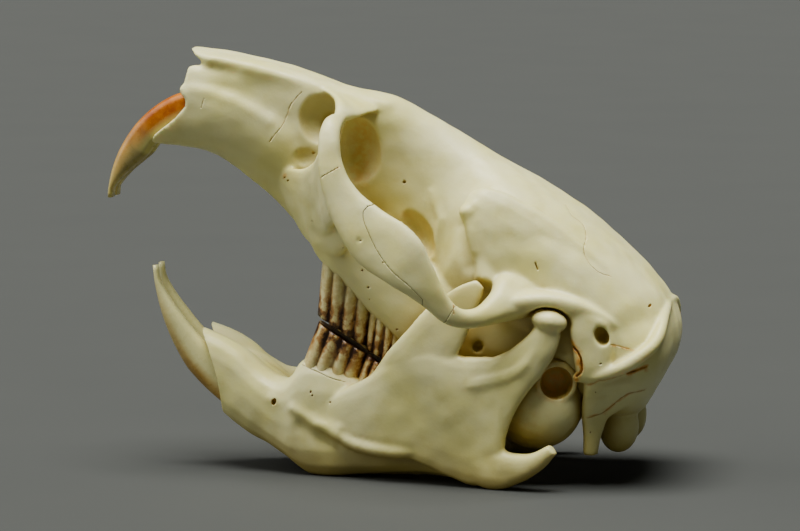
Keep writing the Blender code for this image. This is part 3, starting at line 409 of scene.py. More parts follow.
def side_forms():
    """What stands out from the braincase and the snout of one side."""
    arch = strip([
        (43.6, 1.5, 25.6, 50.6, 1.5, 24, 1), (42.8, 4.2, 25, 50.6, 3.6, 23.8, 0.9),
        (43.4, 5.8, 24.5, 49.4, 4.8, 24, 0.9), (44, 7.4, 23.8, 48, 6.4, 24.1, 1),
        (44.6, 9.6, 23.3, 46.9, 9.2, 23.7, 1.3), (44.8, 12.6, 22.7, 46.4, 12.2, 23.2, 1.5),
        (44.4, 14.6, 22.1, 46.7, 14.2, 22.5, 1.7), (43.6, 15.8, 21.2, 46.2, 15.6, 20.7, 1.8),
        (42.6, 16.2, 19.9, 45.2, 16.3, 18.7, 1.9), (40.9, 16.8, 18.5, 43.3, 16.9, 16.3, 1.9),
        (38.8, 17.2, 17.6, 41.2, 17.4, 14.2, 1.9), (35.5, 18, 17.4, 37.7, 18.2, 11.8, 1.8),
        (32.4, 18.8, 17.4, 34.1, 18.8, 10.5, 1.7), (29.7, ARCH_HALF, 16.6, 30.8, ARCH_HALF, 10.3, 1.7),
        (27.5, ARCH_HALF, 15.2, 28.2, ARCH_HALF, 10.3, 1.7), (25.4, 19.2, 13.6, 25.8, 19, 10.1, 1.8),
        (23.5, 18.6, 12.3, 23.3, 18.6, 9.5, 2), (22, 18, 11.9, 21.5, 18, 9.7, 2.2),
        (20.8, 16.6, 12.5, 19.5, 16.8, 10.6, 2.4), (20.2, 14.4, 14.1, 17.6, 15.2, 12.2, 2.8),
        (20.6, 11.8, 15.6, 15.4, 13.2, 14.2, 3.4), (20.6, 9, 16.6, 13.6, 11, 15.8, 4),
    ], count=64)
    plate = strip([
        (50.4, 3, 13, 43.4, 3, 7.6, 1.4), (48.9, 4.9, 14, 42, 4.6, 7.2, 1.5),
        (47.4, 6.5, 14.9, 41.2, 6, 7.4, 1.6), (46.4, 8.2, 16, 40.8, 7.4, 9, 1.8),
        (45.8, 10.2, 17.4, 40.4, 9.9, 10.2, 1.8), (45.6, 12.4, 19, 40.2, 13, 11.8, 1.8),
        (45.2, 14.9, 20.2, 39.6, 16.2, 13, 1.8),
    ])
    root = strip([
        (45.8, 5.8, 12.6, 39.6, 5.8, 6.4, 2.4), (44.6, 7.2, 13.2, 38.6, 7, 7.6, 2.4),
        (43.2, 9.2, 14.2, 37.9, 9, 9.2, 2.3), (42, 11.8, 15.8, 37.5, 11.8, 11, 2),
    ], square=2.2)
    ridge = strip([
        (19.6, 14.4, 14.4, 18.8, 13.6, 12.6, 2.8), (14.6, 12.9, 17.8, 14, 12.3, 15.4, 2.6),
        (11, 12.2, 18.8, 10.6, 12, 16.6, 2.2), (7.8, 11.6, 18.8, 7.6, 11.6, 17.2, 1.8),
        (4.6, 11, 18.4, 4.6, 11, 17.4, 1.2),
    ])
    temple = strip([
        (28.3, 8, 22.8, 27.6, 9.2, 19.4, 2), (27.2, 8.5, 24, 25.6, 10.2, 17.2, 2.8),
        (24.6, 8.6, 24.8, 22.6, 10.5, 14.8, 3.4), (21, 8.6, 25, 19.6, 10.5, 13.8, 3.4),
        (16, 8.8, 24.6, 15.6, 10.5, 14, 2.8), (10, 9, 23.2, 10, 10.2, 15, 2),
        (5, 8.6, 21, 5, 9.6, 16, 1),
    ], square=2.0)
    socket_wall = strip([
        (25.4, 9.6, 18.2, 21, 9.6, 18.4, 3), (24.2, 10.4, 16.2, 20, 9.8, 16.2, 3),
        (22.6, 11.4, 14.6, 18.6, 10.2, 14.6, 3),
    ])
    base_wall = trunk([
        (27, 13, 5, 1.8, 0.5, 2.2, 5.4), (22, 15.4, 3.8, 2.8, 0.5, 2.2, 6.6),
        (17, 16, 4.8, 3.2, 0.5, 2.2, 7.4), (12, 15.6, 6.6, 3.2, 0.5, 2.2, 8),
    ], count=14, sides=20)
    process = strip([
        (11.8, 12.1, 17, 6.6, 11.9, 18, 2), (10.3, 12.4, 15.2, 5, 12.1, 16.2, 1.9),
        (9.1, 12.6, 13.6, 4.2, 12.2, 14.4, 1.8), (7.9, 12.6, 12, 4.2, 12.3, 12.9, 1.8),
        (6.9, 12.4, 10.7, 4.8, 12.2, 11.6, 1.7),
    ])
    crest = rod([
        (7.2, 12, 10.4, 1.2), (5.4, 12.5, 11.7, 1.5), (3.3, 12.5, 13.8, 1.6), (1.6, 12.1, 16.6, 1.6),
        (1, 10.9, 18.5, 1.6), (1.2, 9.5, 19.9, 1.5), (1.6, 7.5, 20.9, 1.4), (2, 4.5, 21.7, 1.2),
        (2.2, -0.6, 21.9, 1),
    ], count=36)
    flank = strip([
        (6, 11.9, 12, 0.6, 10, 16.4, 2.4), (5.8, 11.8, 10.2, -0.2, 9.2, 13, 2.6),
        (5, 11, 8.4, 0.4, 8.6, 10.4, 2.4), (3.9, 10, 6.2, 1.6, 8.8, 7.8, 2),
        (3, 9.6, 4.6, 1.1, 9, 5.7, 1.8), (1.9, 9.2, 2.6, 0.4, 9, 3.5, 1.8),
    ])
    condyle = egg((0.1, 4.5, 6.9), (2.4, 2.4, 3.3), (0, -NOSE_UP, 0))
    neck = egg((2.6, 4.2, 9.2), (2.8, 2.2, 3.2), (0, -NOSE_UP, 0))
    wing = strip([
        (28, 3.4, 9.6, 26.5, 3.2, 4.6, 1.3), (22.5, 3.4, 10, 21.5, 3.3, 4.6, 1.2),
        (16.5, 4, 10.4, 16.5, 3.9, 6, 1.3),
    ])
    face = [arch, plate, root, ridge, temple, socket_wall]
    return face + [base_wall, process, crest, flank, condyle, neck, wing]


def deep_cuts():
    """The nose, the spinal opening, the throat, the front of the snout, the gap under the tips of the nose
    bones, the palate's slits and the side holes."""
    nose = trunk([
        (69, 18.8, 14.2, 3.4, 0.5, 2.8), (66, 18.9, 15, 3.4, 0.5, 2.8),
        (64.2, 19.1, 16.8, 3.5), (62.4, 19.4, 18, 3.1),
        (60.4, 19.9, 19, 2.2),
    ], count=12, sides=20)
    spinal = trunk([
        (-5, 11.8, 6.8, 3.3, 0.5, 2), (0, 12.4, 7.2, 3.4, 0.5, 2),
        (4, 15, 8.4, 4.6, 0.5, 2), (10, 17, 9, 5.6, 0.5, 2),
        (12.5, 14.5, 10.5, 3, 0.5, 2),
    ], count=12, sides=20)
    throat = trunk([(27.6, 7.6, 3, 2.1), (22, 8.6, 1, 2.2), (15, 8, 0, 2)], count=10, sides=16)
    slit = strip([
        (60.4, 0.9, 10.6, 60.4, 0.9, 7, 0.9), (54, 1.1, 11.6, 54, 1.1, 7.6, 1.3),
        (48.4, 0.9, 10, 48.4, 0.9, 6.6, 0.9),
    ])
    temple_hole = egg((6.7, 13.0, 16.4), (1.15, 2.2, 0.75), (0, 35, 0))
    joint = egg((12.7, 13.2, 14.9), (2.65, 2.3, 1.75), (0, -17, 0))
    nerve_hole = egg((18.7, 10.0, 7.6), (0.6, 1.3, 0.75))
    exit_front = panel([
        (65.8, 18.9), (65.3, 18.2), (64.9, 17.2), (64.6, 16.3), (64.8, 15.7), (64.5, 15.2), (63.6, 14.9),
        (63.2, 14.1), (63.5, 12.4), (64.2, 10.7), (65, 9), (65, 4), (72, 4), (72, 18.9),
    ], -9.0, 9.0)
    snout_gap = panel([
        (63.3, 19.3), (65.2, 19.7), (68, 20), (68, 17.9), (65.4, 18.1), (64.6, 18.8),
    ], -9.0, 9.0)
    return [nose, spinal, throat, exit_front, snout_gap] + both([slit, temple_hole, joint, nerve_hole])


def cheek_territory(grown):
    """What the separate cheek bone takes of the arch, between its two seams, moved outwards by grown."""
    seam = smooth_rows([
        (36, 17.7), (37, 17), (37.2, 16.1), (36.5, 15.2), (35.3, 14.3), (33.6, 13.2), (31, 12.1),
        (28, 11.5), (26.2, 10.9),
    ], 22)
    around = [(25.4, 9.0), (22.8, 8.6), (22.7, 12.8), (24.0, 16.0), (29.0, 19.0), (36.0, 19.4)]
    outline = np.concatenate([seam, around])
    along = np.roll(outline, -1, axis=0) - outline
    along /= np.linalg.norm(along, axis=1)[:, None]
    outwards = np.c_[-along[:, 1], along[:, 0]]
    corner = outwards + np.roll(outwards, 1, axis=0)
    grown_outline = outline + 2 * grown * corner / (corner**2).sum(1)[:, None]
    return panel(grown_outline, 16.0, 22.0)


def bulla_forms():
    """The ear capsule of one side with the collar of the ear opening."""
    capsule = egg((10.6, 7.5, 5.4), (6.8, 4.6, 6.0), (0, 10, -22))
    collar = rod([(9.6, 7.6, 8.0, 6.2), (9.0, 10.0, 8.7, 5.6), (8.6, 11.9, 9.0, 5.0)])
    return [capsule, collar]


def ear_hole(count, sides):
    """The passage of the ear, which narrows inwards."""
    rows = [(8.2, 14.0, 9.1, 3.9), (8.6, 11.6, 8.8, 3.8), (8.9, 10.2, 8.6, 3.4), (9.1, 9.4, 8.5, 2.4)]
    return rod(rows, count, sides)


def jaw_forms():
    """The bone of one lower jaw."""
    body = strip([
        (24.3, 2.8, 17.2, 21.1, 2.5, 6.9, 4.4), (20.6, 3, 15.8, 18.3, 2.9, 4.8, 5),
        (18.4, 3.3, 14.5, 16.1, 3.2, 3.6, 5.2), (16.2, 3.7, 12.6, 14.3, 3.6, 2.9, 5.4),
        (14, 4.3, 11.4, 12.4, 4.2, 1.9, 5.5), (12.4, 4.7, 11.4, 11, 4.7, 0.8, 5.6),
        (10.8, 5, 13.6, 9.6, 5.1, -0.2, 5.6), (8.5, 5.3, 13.6, 7, 5.8, -0.3, 5.6),
        (5, 5.5, 12.2, 3, 6.1, 0.1, 5.4), (1, 5.6, 10.4, -1.5, 7.3, 0.5, 5),
        (-3, 6, 9, -5.5, 9, 0.7, 4.2), (-6.5, 7.6, 7.8, -8.8, 10.8, 0.7, 3.2),
        (-9.5, 10.4, 6.6, -11.6, 12.2, 0.3, 2.6),
    ], count=40, square=2.8)
    chin = strip([
        (22.6, 1.2, 14.8, 20.8, 1.2, 8.4, 2.6), (17, 1.2, 13.4, 15.6, 1.2, 4.6, 2.8),
        (12, 1.4, 9.8, 10.6, 1.4, 2.6, 2.8), (9, 2, 7.6, 8, 2, 2.6, 2.6),
    ])
    ramus = strip([
        (7.4, 7, 9.2, 6.8, 7.4, 4.8, 2.4), (4.4, 8.2, 11.2, 2.6, 8.8, 3.8, 2.6),
        (1.3, 9.2, 13, -1.2, 10, 3.2, 2.4), (-1.9, 10.2, 15.4, -4.8, 11, 2.2, 2.3),
        (-5.4, 11.3, 16.4, -8.6, 11.8, 0.7, 2.5), (-9.8, 11.9, 15.3, -11.6, 12.8, 0.3, 2.2),
        (-12.6, 12.5, 15.4, -13.4, 13.4, 2, 1.9), (-13.6, 12.8, 15, -14.4, 13.6, 5, 1.8),
    ], square=3.4)
    blade = strip([
        (3.4, 8, 10.6, -1, 9.6, 7, 1.6), (1.2, 9, 13.6, -3.6, 10.8, 9.6, 1.9),
        (-1.4, 10.2, 16.9, -6.6, 11.6, 12.8, 1.8), (-3.7, 11, 19.5, -8.8, 12.1, 15.6, 1.6),
        (-6.4, 11.7, 22, -10.2, 12.3, 18.8, 1.3), (-9.3, 12.2, 23.8, -11.6, 12.4, 22, 1),
        (-10.9, 12.2, 24.3, -11.8, 12.3, 23.4, 0.8),
    ])
    neck = strip([
        (-9.4, 11.9, 14.4, -14.4, 13.4, 5.4, 1.9), (-12.4, 12.5, 15.2, -15.2, 13.5, 8, 2),
        (-14.6, 12.8, 16.3, -16.8, 13.5, 11, 2.1), (-16.4, 13, 17.6, -18.9, 13.4, 13.8, 2.2),
        (-17.6, 13.1, 18.8, -20.6, 13.3, 16.8, 2.2), (-18.2, 13, 19.7, -20.9, 13.1, 18.2, 2),
    ], square=2.4)
    head = egg((-19.5, 13.0, 19.8), (2.15, 1.75, 1.3), (0, 12, 0))
    hook = strip([
        (-9.5, 12.2, 5.6, -10.5, 12.4, 0.4, 2), (-13, 12.9, 5.2, -13.6, 13.3, -0.2, 2.4),
        (-15.4, 13.6, 4.4, -16.2, 13.9, 0.8, 2.4), (-17.6, 14.2, 4.5, -18.5, 14.5, 2.3, 2.1),
        (-19.7, 14.9, 5.6, -20.6, 15, 4.6, 1.4),
    ])
    keel = rod([
        (11.6, 6.9, 7.8, 1.2), (9.6, 7.4, 6.5, 1.5), (7, 8.2, 5.5, 1.7), (4.5, 8.9, 4.5, 1.8),
        (1, 9.8, 3.8, 1.9), (-3, 10.7, 3.8, 1.8), (-6.6, 11.2, 4.6, 1.6), (-9.6, 11.6, 5.6, 1.3),
    ])
    line = rod([
        (6.6, 7.9, 6.4, 1.2), (3.5, 8.5, 7.2, 1.8), (1.2, 9.2, 8.8, 1.9), (-2.5, 10.4, 12.2, 1.6),
    ])
    root = rod([
        (-0.6, 8, 10.2, 1.6), (-4.4, 9.5, 10.8, 2.4), (-8.2, 11, 11.5, 3), (-12.6, 12.5, 12.4, 2.9),
        (-16.2, 13.4, 14, 2.3), (-18.6, 13.3, 17.4, 2),
    ])
    return [body, chin, ramus, blade, neck, head, hook, keel, line, root]


def jaw_cuts():
    """Takes the bone away in front of the front tooth's socket, on the midline and below the floor."""
    exit_front = panel([
        (20.7, 6.4), (20.9, 9), (21.2, 11), (21.8, 13), (22.5, 15), (23.6, 17.4), (28, 19),
        (30, 8), (24, 4),
    ], -1.0, 9.0)
    return [exit_front, box((-40, -9, -9), (40, MIDLINE, 40)), box((-40, -1, -9), (40, 30, 0))]


# Surface detail

UNEVEN = 0.035           # height of the bone's unevenness
LONG_WAVE, SHORT_WAVE = 6.0, 2.6
SIDE_WEIGHT = 0.4        # how much left counts in a distance along the surface
SEAM_SWAY = 0.10         # how far a seam wanders
SEAM_STAIN = 0.22        # half width of the stain along a seam
PIT_STAIN = 0.28         # how stained a small hole is
PIT_SPREAD = 1.6         # half width of that stain, over the hole's own
PIT_TURN = (0, 25, 0)
SIDEWAYS = (0, 1, 0)


def read_points(made):
    """Places of the mesh's points as ahead, left and up, in millimetres, and the way each faces."""
    count = len(made.data.vertices)
    places, facing = np.empty(count * 3, np.float32), np.empty(count * 3, np.float32)
    made.data.vertices.foreach_get("co", places)
    made.data.vertex_normals.foreach_get("vector", facing)
    return places.reshape(-1, 3) * MESH_WAYS / MM, facing.reshape(-1, 3) * MESH_WAYS


def write_points(made, places):
    """Moves the mesh's points to places as ahead, left and up, in millimetres."""
    made.data.vertices.foreach_set("co", (places * MESH_WAYS * MM).astype(np.float32).ravel())
    made.data.update()


def write_value(made, name, values):
    """Keeps one number at each point of the mesh for its material."""
    attribute = made.data.attributes.new(name, "FLOAT", "POINT")
    attribute.data.foreach_set("value", np.asarray(values, np.float32))


def waves(places, length, seed, count=24):
    """Smooth unevenness of about that wavelength, with a spread of one."""
    draw = np.random.default_rng(seed)
    total = np.zeros(len(places))
    for _ in range(count):
        way = draw.normal(size=3)
        way *= 2 * pi / length / np.linalg.norm(way)
        total += np.sin(places @ way + draw.uniform(0, 2 * pi))
    return total / np.sqrt(count / 2)


def reach(places, path):
    """Distance from each point to a path, for which left counts less than ahead and up."""
    weight = np.array([1, SIDE_WEIGHT, 1])
    spots, knots = places * weight, np.asarray(path, float) * weight
    found = np.linalg.norm(spots - knots[0], axis=1)
    for start, end in zip(knots[:-1], knots[1:]):
        along = end - start
        share = np.clip((spots - start) @ along / (along @ along), 0, 1)
        found = np.minimum(found, np.linalg.norm(spots - start - share[:, None] * along, axis=1))
    return found


def own_side(places):
    """The points of a piece with their left sides folded onto one another."""
    return places * np.array([1, 0, 1]) + np.abs(places) * np.array([0, 1, 0])


def detailed(made, marks, seed):
    """Adds unevenness and relief; each mark is a path, its half width and its depth."""
    places, facing = read_points(made)
    folded = own_side(places)
    rise = UNEVEN * (waves(places, LONG_WAVE, seed) + 0.5 * waves(places, SHORT_WAVE, seed + 1))
    for path, width, depth in marks:
        rise -= depth * np.exp(-(reach(folded, path) / width) ** 2)
    write_points(made, places + rise[:, None] * facing)
    return made


def blade(path, way, width, depth, seed):
    """A thin wandering cutter along a path; way points out of the surface there."""
    rows = smooth_rows(path, 6 * len(path))
    draw = np.random.default_rng(seed)
    sway = np.convolve(draw.normal(size=len(rows) + 2), [0.25, 0.5, 0.25], "valid") * SEAM_SWAY
    rows = rows + sway[:, None] * np.cross(np.gradient(rows, axis=0), way)
    way = np.array(way) / np.linalg.norm(way)
    edges = np.c_[rows - depth * way, rows + way, np.full(len(rows), width)]
    return strip(edges, count=8 * len(path), sides=8)


def scored(made, seams, pits, seed):
    """Cuts the seams and small holes of both sides of a piece."""
    cutters = [
        blade(path, way, width, depth, seed + i)
        for i, (path, way, width, depth, _) in enumerate(seams)
    ]
    cutters += [
        egg(place, (radius, depth, radius * long), PIT_TURN)
        for place, radius, long, depth in pits
    ]
    return combine(made, object_of("cutters", both(cutters)), "DIFFERENCE")


def stained_and_shaded(made, seams, pits, spots):
    """Keeps a stain value at each point: along the seams, in the small holes and over the spots, some of
    which are painted shade.
    """
    places = own_side(read_points(made)[0])
    marks = [(path, SEAM_STAIN, amount) for path, _, _, _, amount in seams]
    marks += [([place], PIT_SPREAD * radius, PIT_STAIN) for place, radius, _, _ in pits]
    stain = np.zeros(len(places))
    for path, width, amount in marks + spots:
        stain = np.maximum(stain, amount * np.exp(-(reach(places, path) / width) ** 2))
    write_value(made, "stain", stain)
    return made


# Seams between bones: path, the way out, width, depth and stain
CRANIUM_SEAMS = [
    ([(51.8, 4.5, 22.5), (52.0, 4.6, 21.7), (52.2, 4.6, 20.3), (52.0, 4.6, 19.2), (51.9, 4.9, 17.7),
      (52.1, 5.1, 16.5), (52.2, 5.1, 15.5)], SIDEWAYS, 0.07, 0.16, 0.2),
    ([(61.6, 5.0, 16.1), (61.3, 5.1, 14.9)], SIDEWAYS, 0.05, 0.1, 0.12),
    ([(43.5, 17.3, 16.9), (42.8, 17.5, 18.1), (42.2, 17.3, 19.1)], SIDEWAYS, 0.06, 0.12, 0.25),
    ([(9.2, 12.6, 13.7), (8.2, 13.1, 13.5), (7.4, 13.2, 12.9), (6.7, 13.1, 11.6), (7.0, 12.7, 10.8)],
     SIDEWAYS, 0.3, 0.5, 0.9),
    ([(6.0, 12.4, 10.3), (5.1, 12.6, 10.8), (4.4, 12.9, 11.9), (3.3, 12.8, 12.7), (2.4, 12.4, 13.6)],
     (-0.3, 0.8, -0.4), 0.08, 0.15, 0.35),
    ([(2.0, 12.0, 14.0), (1.4, 11.8, 14.6), (0.5, 11.0, 15.7)], (-0.7, 0.6, 0), 0.16, 0.3, 0.8),
    ([(3.6, 10.6, 6.9), (3.1, 10.7, 7.4), (2.3, 10.6, 8.2), (1.8, 10.7, 9.3), (1.5, 10.8, 10.2),
      (0.7, 10.9, 11.9), (-0.6, 9.6, 13.0)], (-0.5, 0.8, -0.3), 0.1, 0.22, 0.35),
    ([(5.3, 12.3, 16.0), (3.8, 12.0, 16.4), (2.7, 12.1, 16.7)], SIDEWAYS, 0.07, 0.2, 0.4),
    ([(18.2, 3.9, 26.3), (16.8, 5.7, 25.8), (15.3, 5.9, 25.6), (14.2, 7.3, 24.9), (13.3, 9.7, 23.3),
      (12.0, 10.2, 22.6), (10.8, 10.2, 22.3), (9.2, 9.7, 22.5)], (0, 0.6, 0.8), 0.06, 0.12, 0.15),
    ([(17.6, 11.3, 19.8), (17.3, 11.4, 19.5), (16.9, 11.5, 19.2)], SIDEWAYS, 0.2, 0.3, 0.15),
    ([(22.9, 19.0, 12.0), (22.4, 18.9, 11.2)], SIDEWAYS, 0.07, 0.2, 0.4),
]
# Small holes: place, half width, length over width and depth
CRANIUM_PITS = [
    ((3.7, 8.3, 21.6), 0.16, 1.8, 0.4), ((5.2, 13.1, 13.6), 0.1, 1.4, 0.4),
    ((36.1, 3.7, 19.1), 0.18, 1.2, 0.4), ((49.6, 4.8, 12.9), 0.1, 3.0, 0.25),
    ((48.7, 4.8, 12.6), 0.12, 2.0, 0.25), ((48.1, 5.2, 12.6), 0.1, 2.4, 0.25),
    ((47.1, 4.8, 16.8), 0.2, 1.2, 0.5), ((43.0, 7.8, 10.3), 0.08, 1.0, 0.3),
    ((38.1, 10.1, 9.9), 0.1, 1.0, 0.3), ((35.0, 8.0, 8.2), 0.12, 1.0, 0.3),
    ((33.4, 8.0, 6.8), 0.12, 1.0, 0.3), ((28.1, 7.4, 4.1), 0.14, 1.0, 0.3),
    ((32.6, 7.9, 5.6), 0.08, 1.0, 0.3), ((4.1, 12.1, 10.3), 0.08, 1.0, 0.25),
    ((2.4, 10.2, 5.5), 0.08, 1.0, 0.25), ((35.8, 19.2, 13.2), 0.1, 1.2, 0.3),
    ((32.3, 19.9, 12.4), 0.09, 1.2, 0.3),
]
# Hollows, and ridges with a depth below nought: path, half width and depth
CRANIUM_RELIEF = [
    ([(27.6, 10.3, 20.7)], 0.75, -0.5),
    ([(27.3, 10.2, 21.7), (27.4, 10.2, 20.4), (26.0, 10.8, 19.0), (24.6, 11.0, 17.4)], 0.7, -0.2),
    ([(27.2, 8.6, 18.6), (26.3, 8.9, 17.4), (24.2, 9.8, 15.5)], 0.9, 0.45),
    ([(57.4, 4.6, 20.2), (55.4, 4.6, 21.1), (53.6, 4.6, 21.7)], 1.4, 0.2),
    ([(63.5, 4.8, 16.5), (61.0, 5.1, 17.2), (58.0, 5.2, 17.6), (55.5, 5.2, 17.8), (53.5, 5.2, 17.7)],
     0.8, -0.2),
    ([(32.6, 6.0, 19.8), (30.1, 6.0, 17.7), (29.4, 6.0, 15.3), (28.9, 6.0, 13.3)], 0.6, -0.35),
    ([(4.6, 11.4, 18.6), (3.4, 10.6, 20.0)], 1.5, 0.4),
    ([(4.8, 12.2, 10.5), (3.0, 11.8, 11.7), (1.3, 11.2, 13.1)], 0.55, -0.25),
    ([(4.2, 11.2, 8.9), (2.6, 11.2, 10.0)], 0.5, 0.2),
    ([(36.0, 19.0, 13.1)], 0.25, 0.15),
    ([(33.1, 6.0, 26.0)], 0.5, -0.25),
]
# Stained spots, and painted shade deep in the eye socket: path, half width and amount
CRANIUM_SPOTS = [
    ([(9.4, 12.6, 14.0), (8.0, 13.0, 13.4), (7.0, 13.1, 12.0), (6.8, 12.6, 10.6)], 0.5, 0.55),
    ([(1.9, 12.0, 14.1)], 0.45, 0.6), ([(0.5, 11.0, 15.4)], 0.4, 0.5), ([(2.2, 10.6, 8.4)], 0.5, 0.3),
    # The second spot here, on the socket's floor, and the next one, at its deep front, are painted shade
    ([(48.8, 4.9, 12.8)], 0.5, 0.35), ([(34.0, 4.4, 15.5), (31.2, 5.2, 14.2)], 1.4, 0.22),
    ([(43.6, 3.0, 22.0), (42.3, 3.0, 19.2), (41.0, 3.0, 17.0)], 2.0, 0.25),
    ([(41.5, 5.0, 5.8), (37.0, 7.0, 4.6), (32.0, 7.0, 3.0)], 0.7, 0.25),
]

JAW_SEAMS = [
    ([(10.9, 6.6, 13.2), (8.8, 6.8, 12.5), (6.4, 7.2, 11.6), (4.6, 7.8, 11.2)], SIDEWAYS, 0.07, 0.15, 0.2),
]
JAW_PITS = [
    ((14.0, 6.8, 8.7), 0.3, 1.5, 0.6), ((9.4, 7.9, 10.1), 0.1, 1.5, 0.3), ((9.2, 7.9, 9.7), 0.12, 1.0, 0.3),
    ((7.0, 8.3, 9.0), 0.12, 1.0, 0.3),
]
JAW_RELIEF = [
    ([(14.3, 6.9, 9.2)], 0.7, -0.15),
    ([(11.6, 7.4, 8.1), (10.4, 7.8, 7.4), (8.6, 8.2, 6.5), (7.0, 8.7, 6.3), (5.9, 9.1, 6.0)], 0.6, -0.3),
    ([(10.6, 7.5, 6.0), (8.6, 8.0, 4.9), (6.2, 8.6, 4.1)], 0.9, 0.25),
]
JAW_SPOTS = [([(9.0, 6.4, 12.9), (5.0, 7.4, 11.2)], 0.6, 0.2)]

# Stain in the ear opening, and painted shade over the lower side of the ear capsule
EAR_SPOTS = [([(8.8, 11.4, 8.7), (9.1, 9.4, 8.5)], 2.2, 0.46), ([(10.5, 9.0, 3.0)], 5.0, 0.16)]


# Teeth

STAIN_FADE = 2.4                      # distance from the crown over which the stain fades
LOBE_LEAST, LOBE_RISE = 0.66, 0.34    # share of the tooth's width in a fold, and what a lobe adds
LOBE_CURVE = 0.45
ENAMEL_EDGE = 0.9                     # width over which the enamel fades
WORN_INSIDE, WORN_EDGE = 0.9, 0.8     # how far in the worn side starts, and how wide its edge is


def cheek_tooth(front, length, left, width, root, crown, lobes, lean, sides=120, levels=18):
    """A prism with sharp folds in both sides, as points, faces and how far each point is stained."""
    c, s = rounded(sides, 3.0)
    along = (1 - c) / 2
    fold = np.abs(np.sin(pi * (lobes * along + np.where(s > 0, 0.0, 0.5))))
    lobe = LOBE_LEAST + LOBE_RISE * fold**LOBE_CURVE
    rings, nearness = [], []
    for share in np.linspace(0, 1, levels):
        level, tilt = root + (crown - root) * share, CHEWING_SLOPE * share
        ahead = front - length * along + lean * (level - crown)
        rings.append(np.c_[ahead, left + s * lobe * width / 2, level + tilt * (ahead - CHEWING_LEVEL)])
        nearness.append(np.full(sides, np.exp(-abs(crown - level) / STAIN_FADE)))
    points, faces = skinned(rings)
    return points, faces, np.tile(1 - fold, levels), np.concatenate(nearness)


def cheek_teeth(name, side, front, left, width, root, crown, lean):
    """The row of three, with how deep in a fold and how near the crown each point is."""
    forms, folds, nearness = [], [], []
    for length, lobes in MOLARS:
        points, faces, fold, near = cheek_tooth(front, length, left, width, root, crown, lobes, lean)
        forms.append((points, faces))
        folds.append(fold)
        nearness.append(near)
        front -= length - MOLAR_OVERLAP
    made = object_of(name, on(side, forms))
    write_value(made, "fold", np.concatenate(folds))
    write_value(made, "crown", np.concatenate(nearness))
    return made


def front_tooth(name, side, shape, enamel):
    """An incisor, with how far each point is enamel and how far it is worn. The enamel is so deep at the
    socket and thins towards the tip."""
    points, faces = incisor(shape)
    made = object_of(name, on(side, [(points, faces)]))
    ahead, up, radius = shape["circle"]
    out = np.hypot(points[:, 0] - ahead, points[:, 2] - up)
    turn = np.degrees(np.arctan2(points[:, 2] - up, points[:, 0] - ahead))
    share = (turn - shape["start"]) / (shape["stop"] - shape["start"])
    band = enamel * np.interp(share, [0.2, 0.8, 1], [1, 0.6, 0.25])
    fade = np.interp(share, [0, 0.45, 0.75, 1], [1, 1, 0.55, 0.1])
    write_value(made, "outer", fade * np.clip((out - radius + band) / ENAMEL_EDGE, 0, 1))
    inside = np.clip((radius - WORN_INSIDE - out) / WORN_EDGE, 0, 1)
    write_value(made, "worn", (share > 1 - shape["bevel"]) * inside)
    return made


# Materials

def set_inputs(node, values):
    """Gives a node's inputs their constant values."""
    for name, value in values.items():
        node.inputs[name].default_value = value


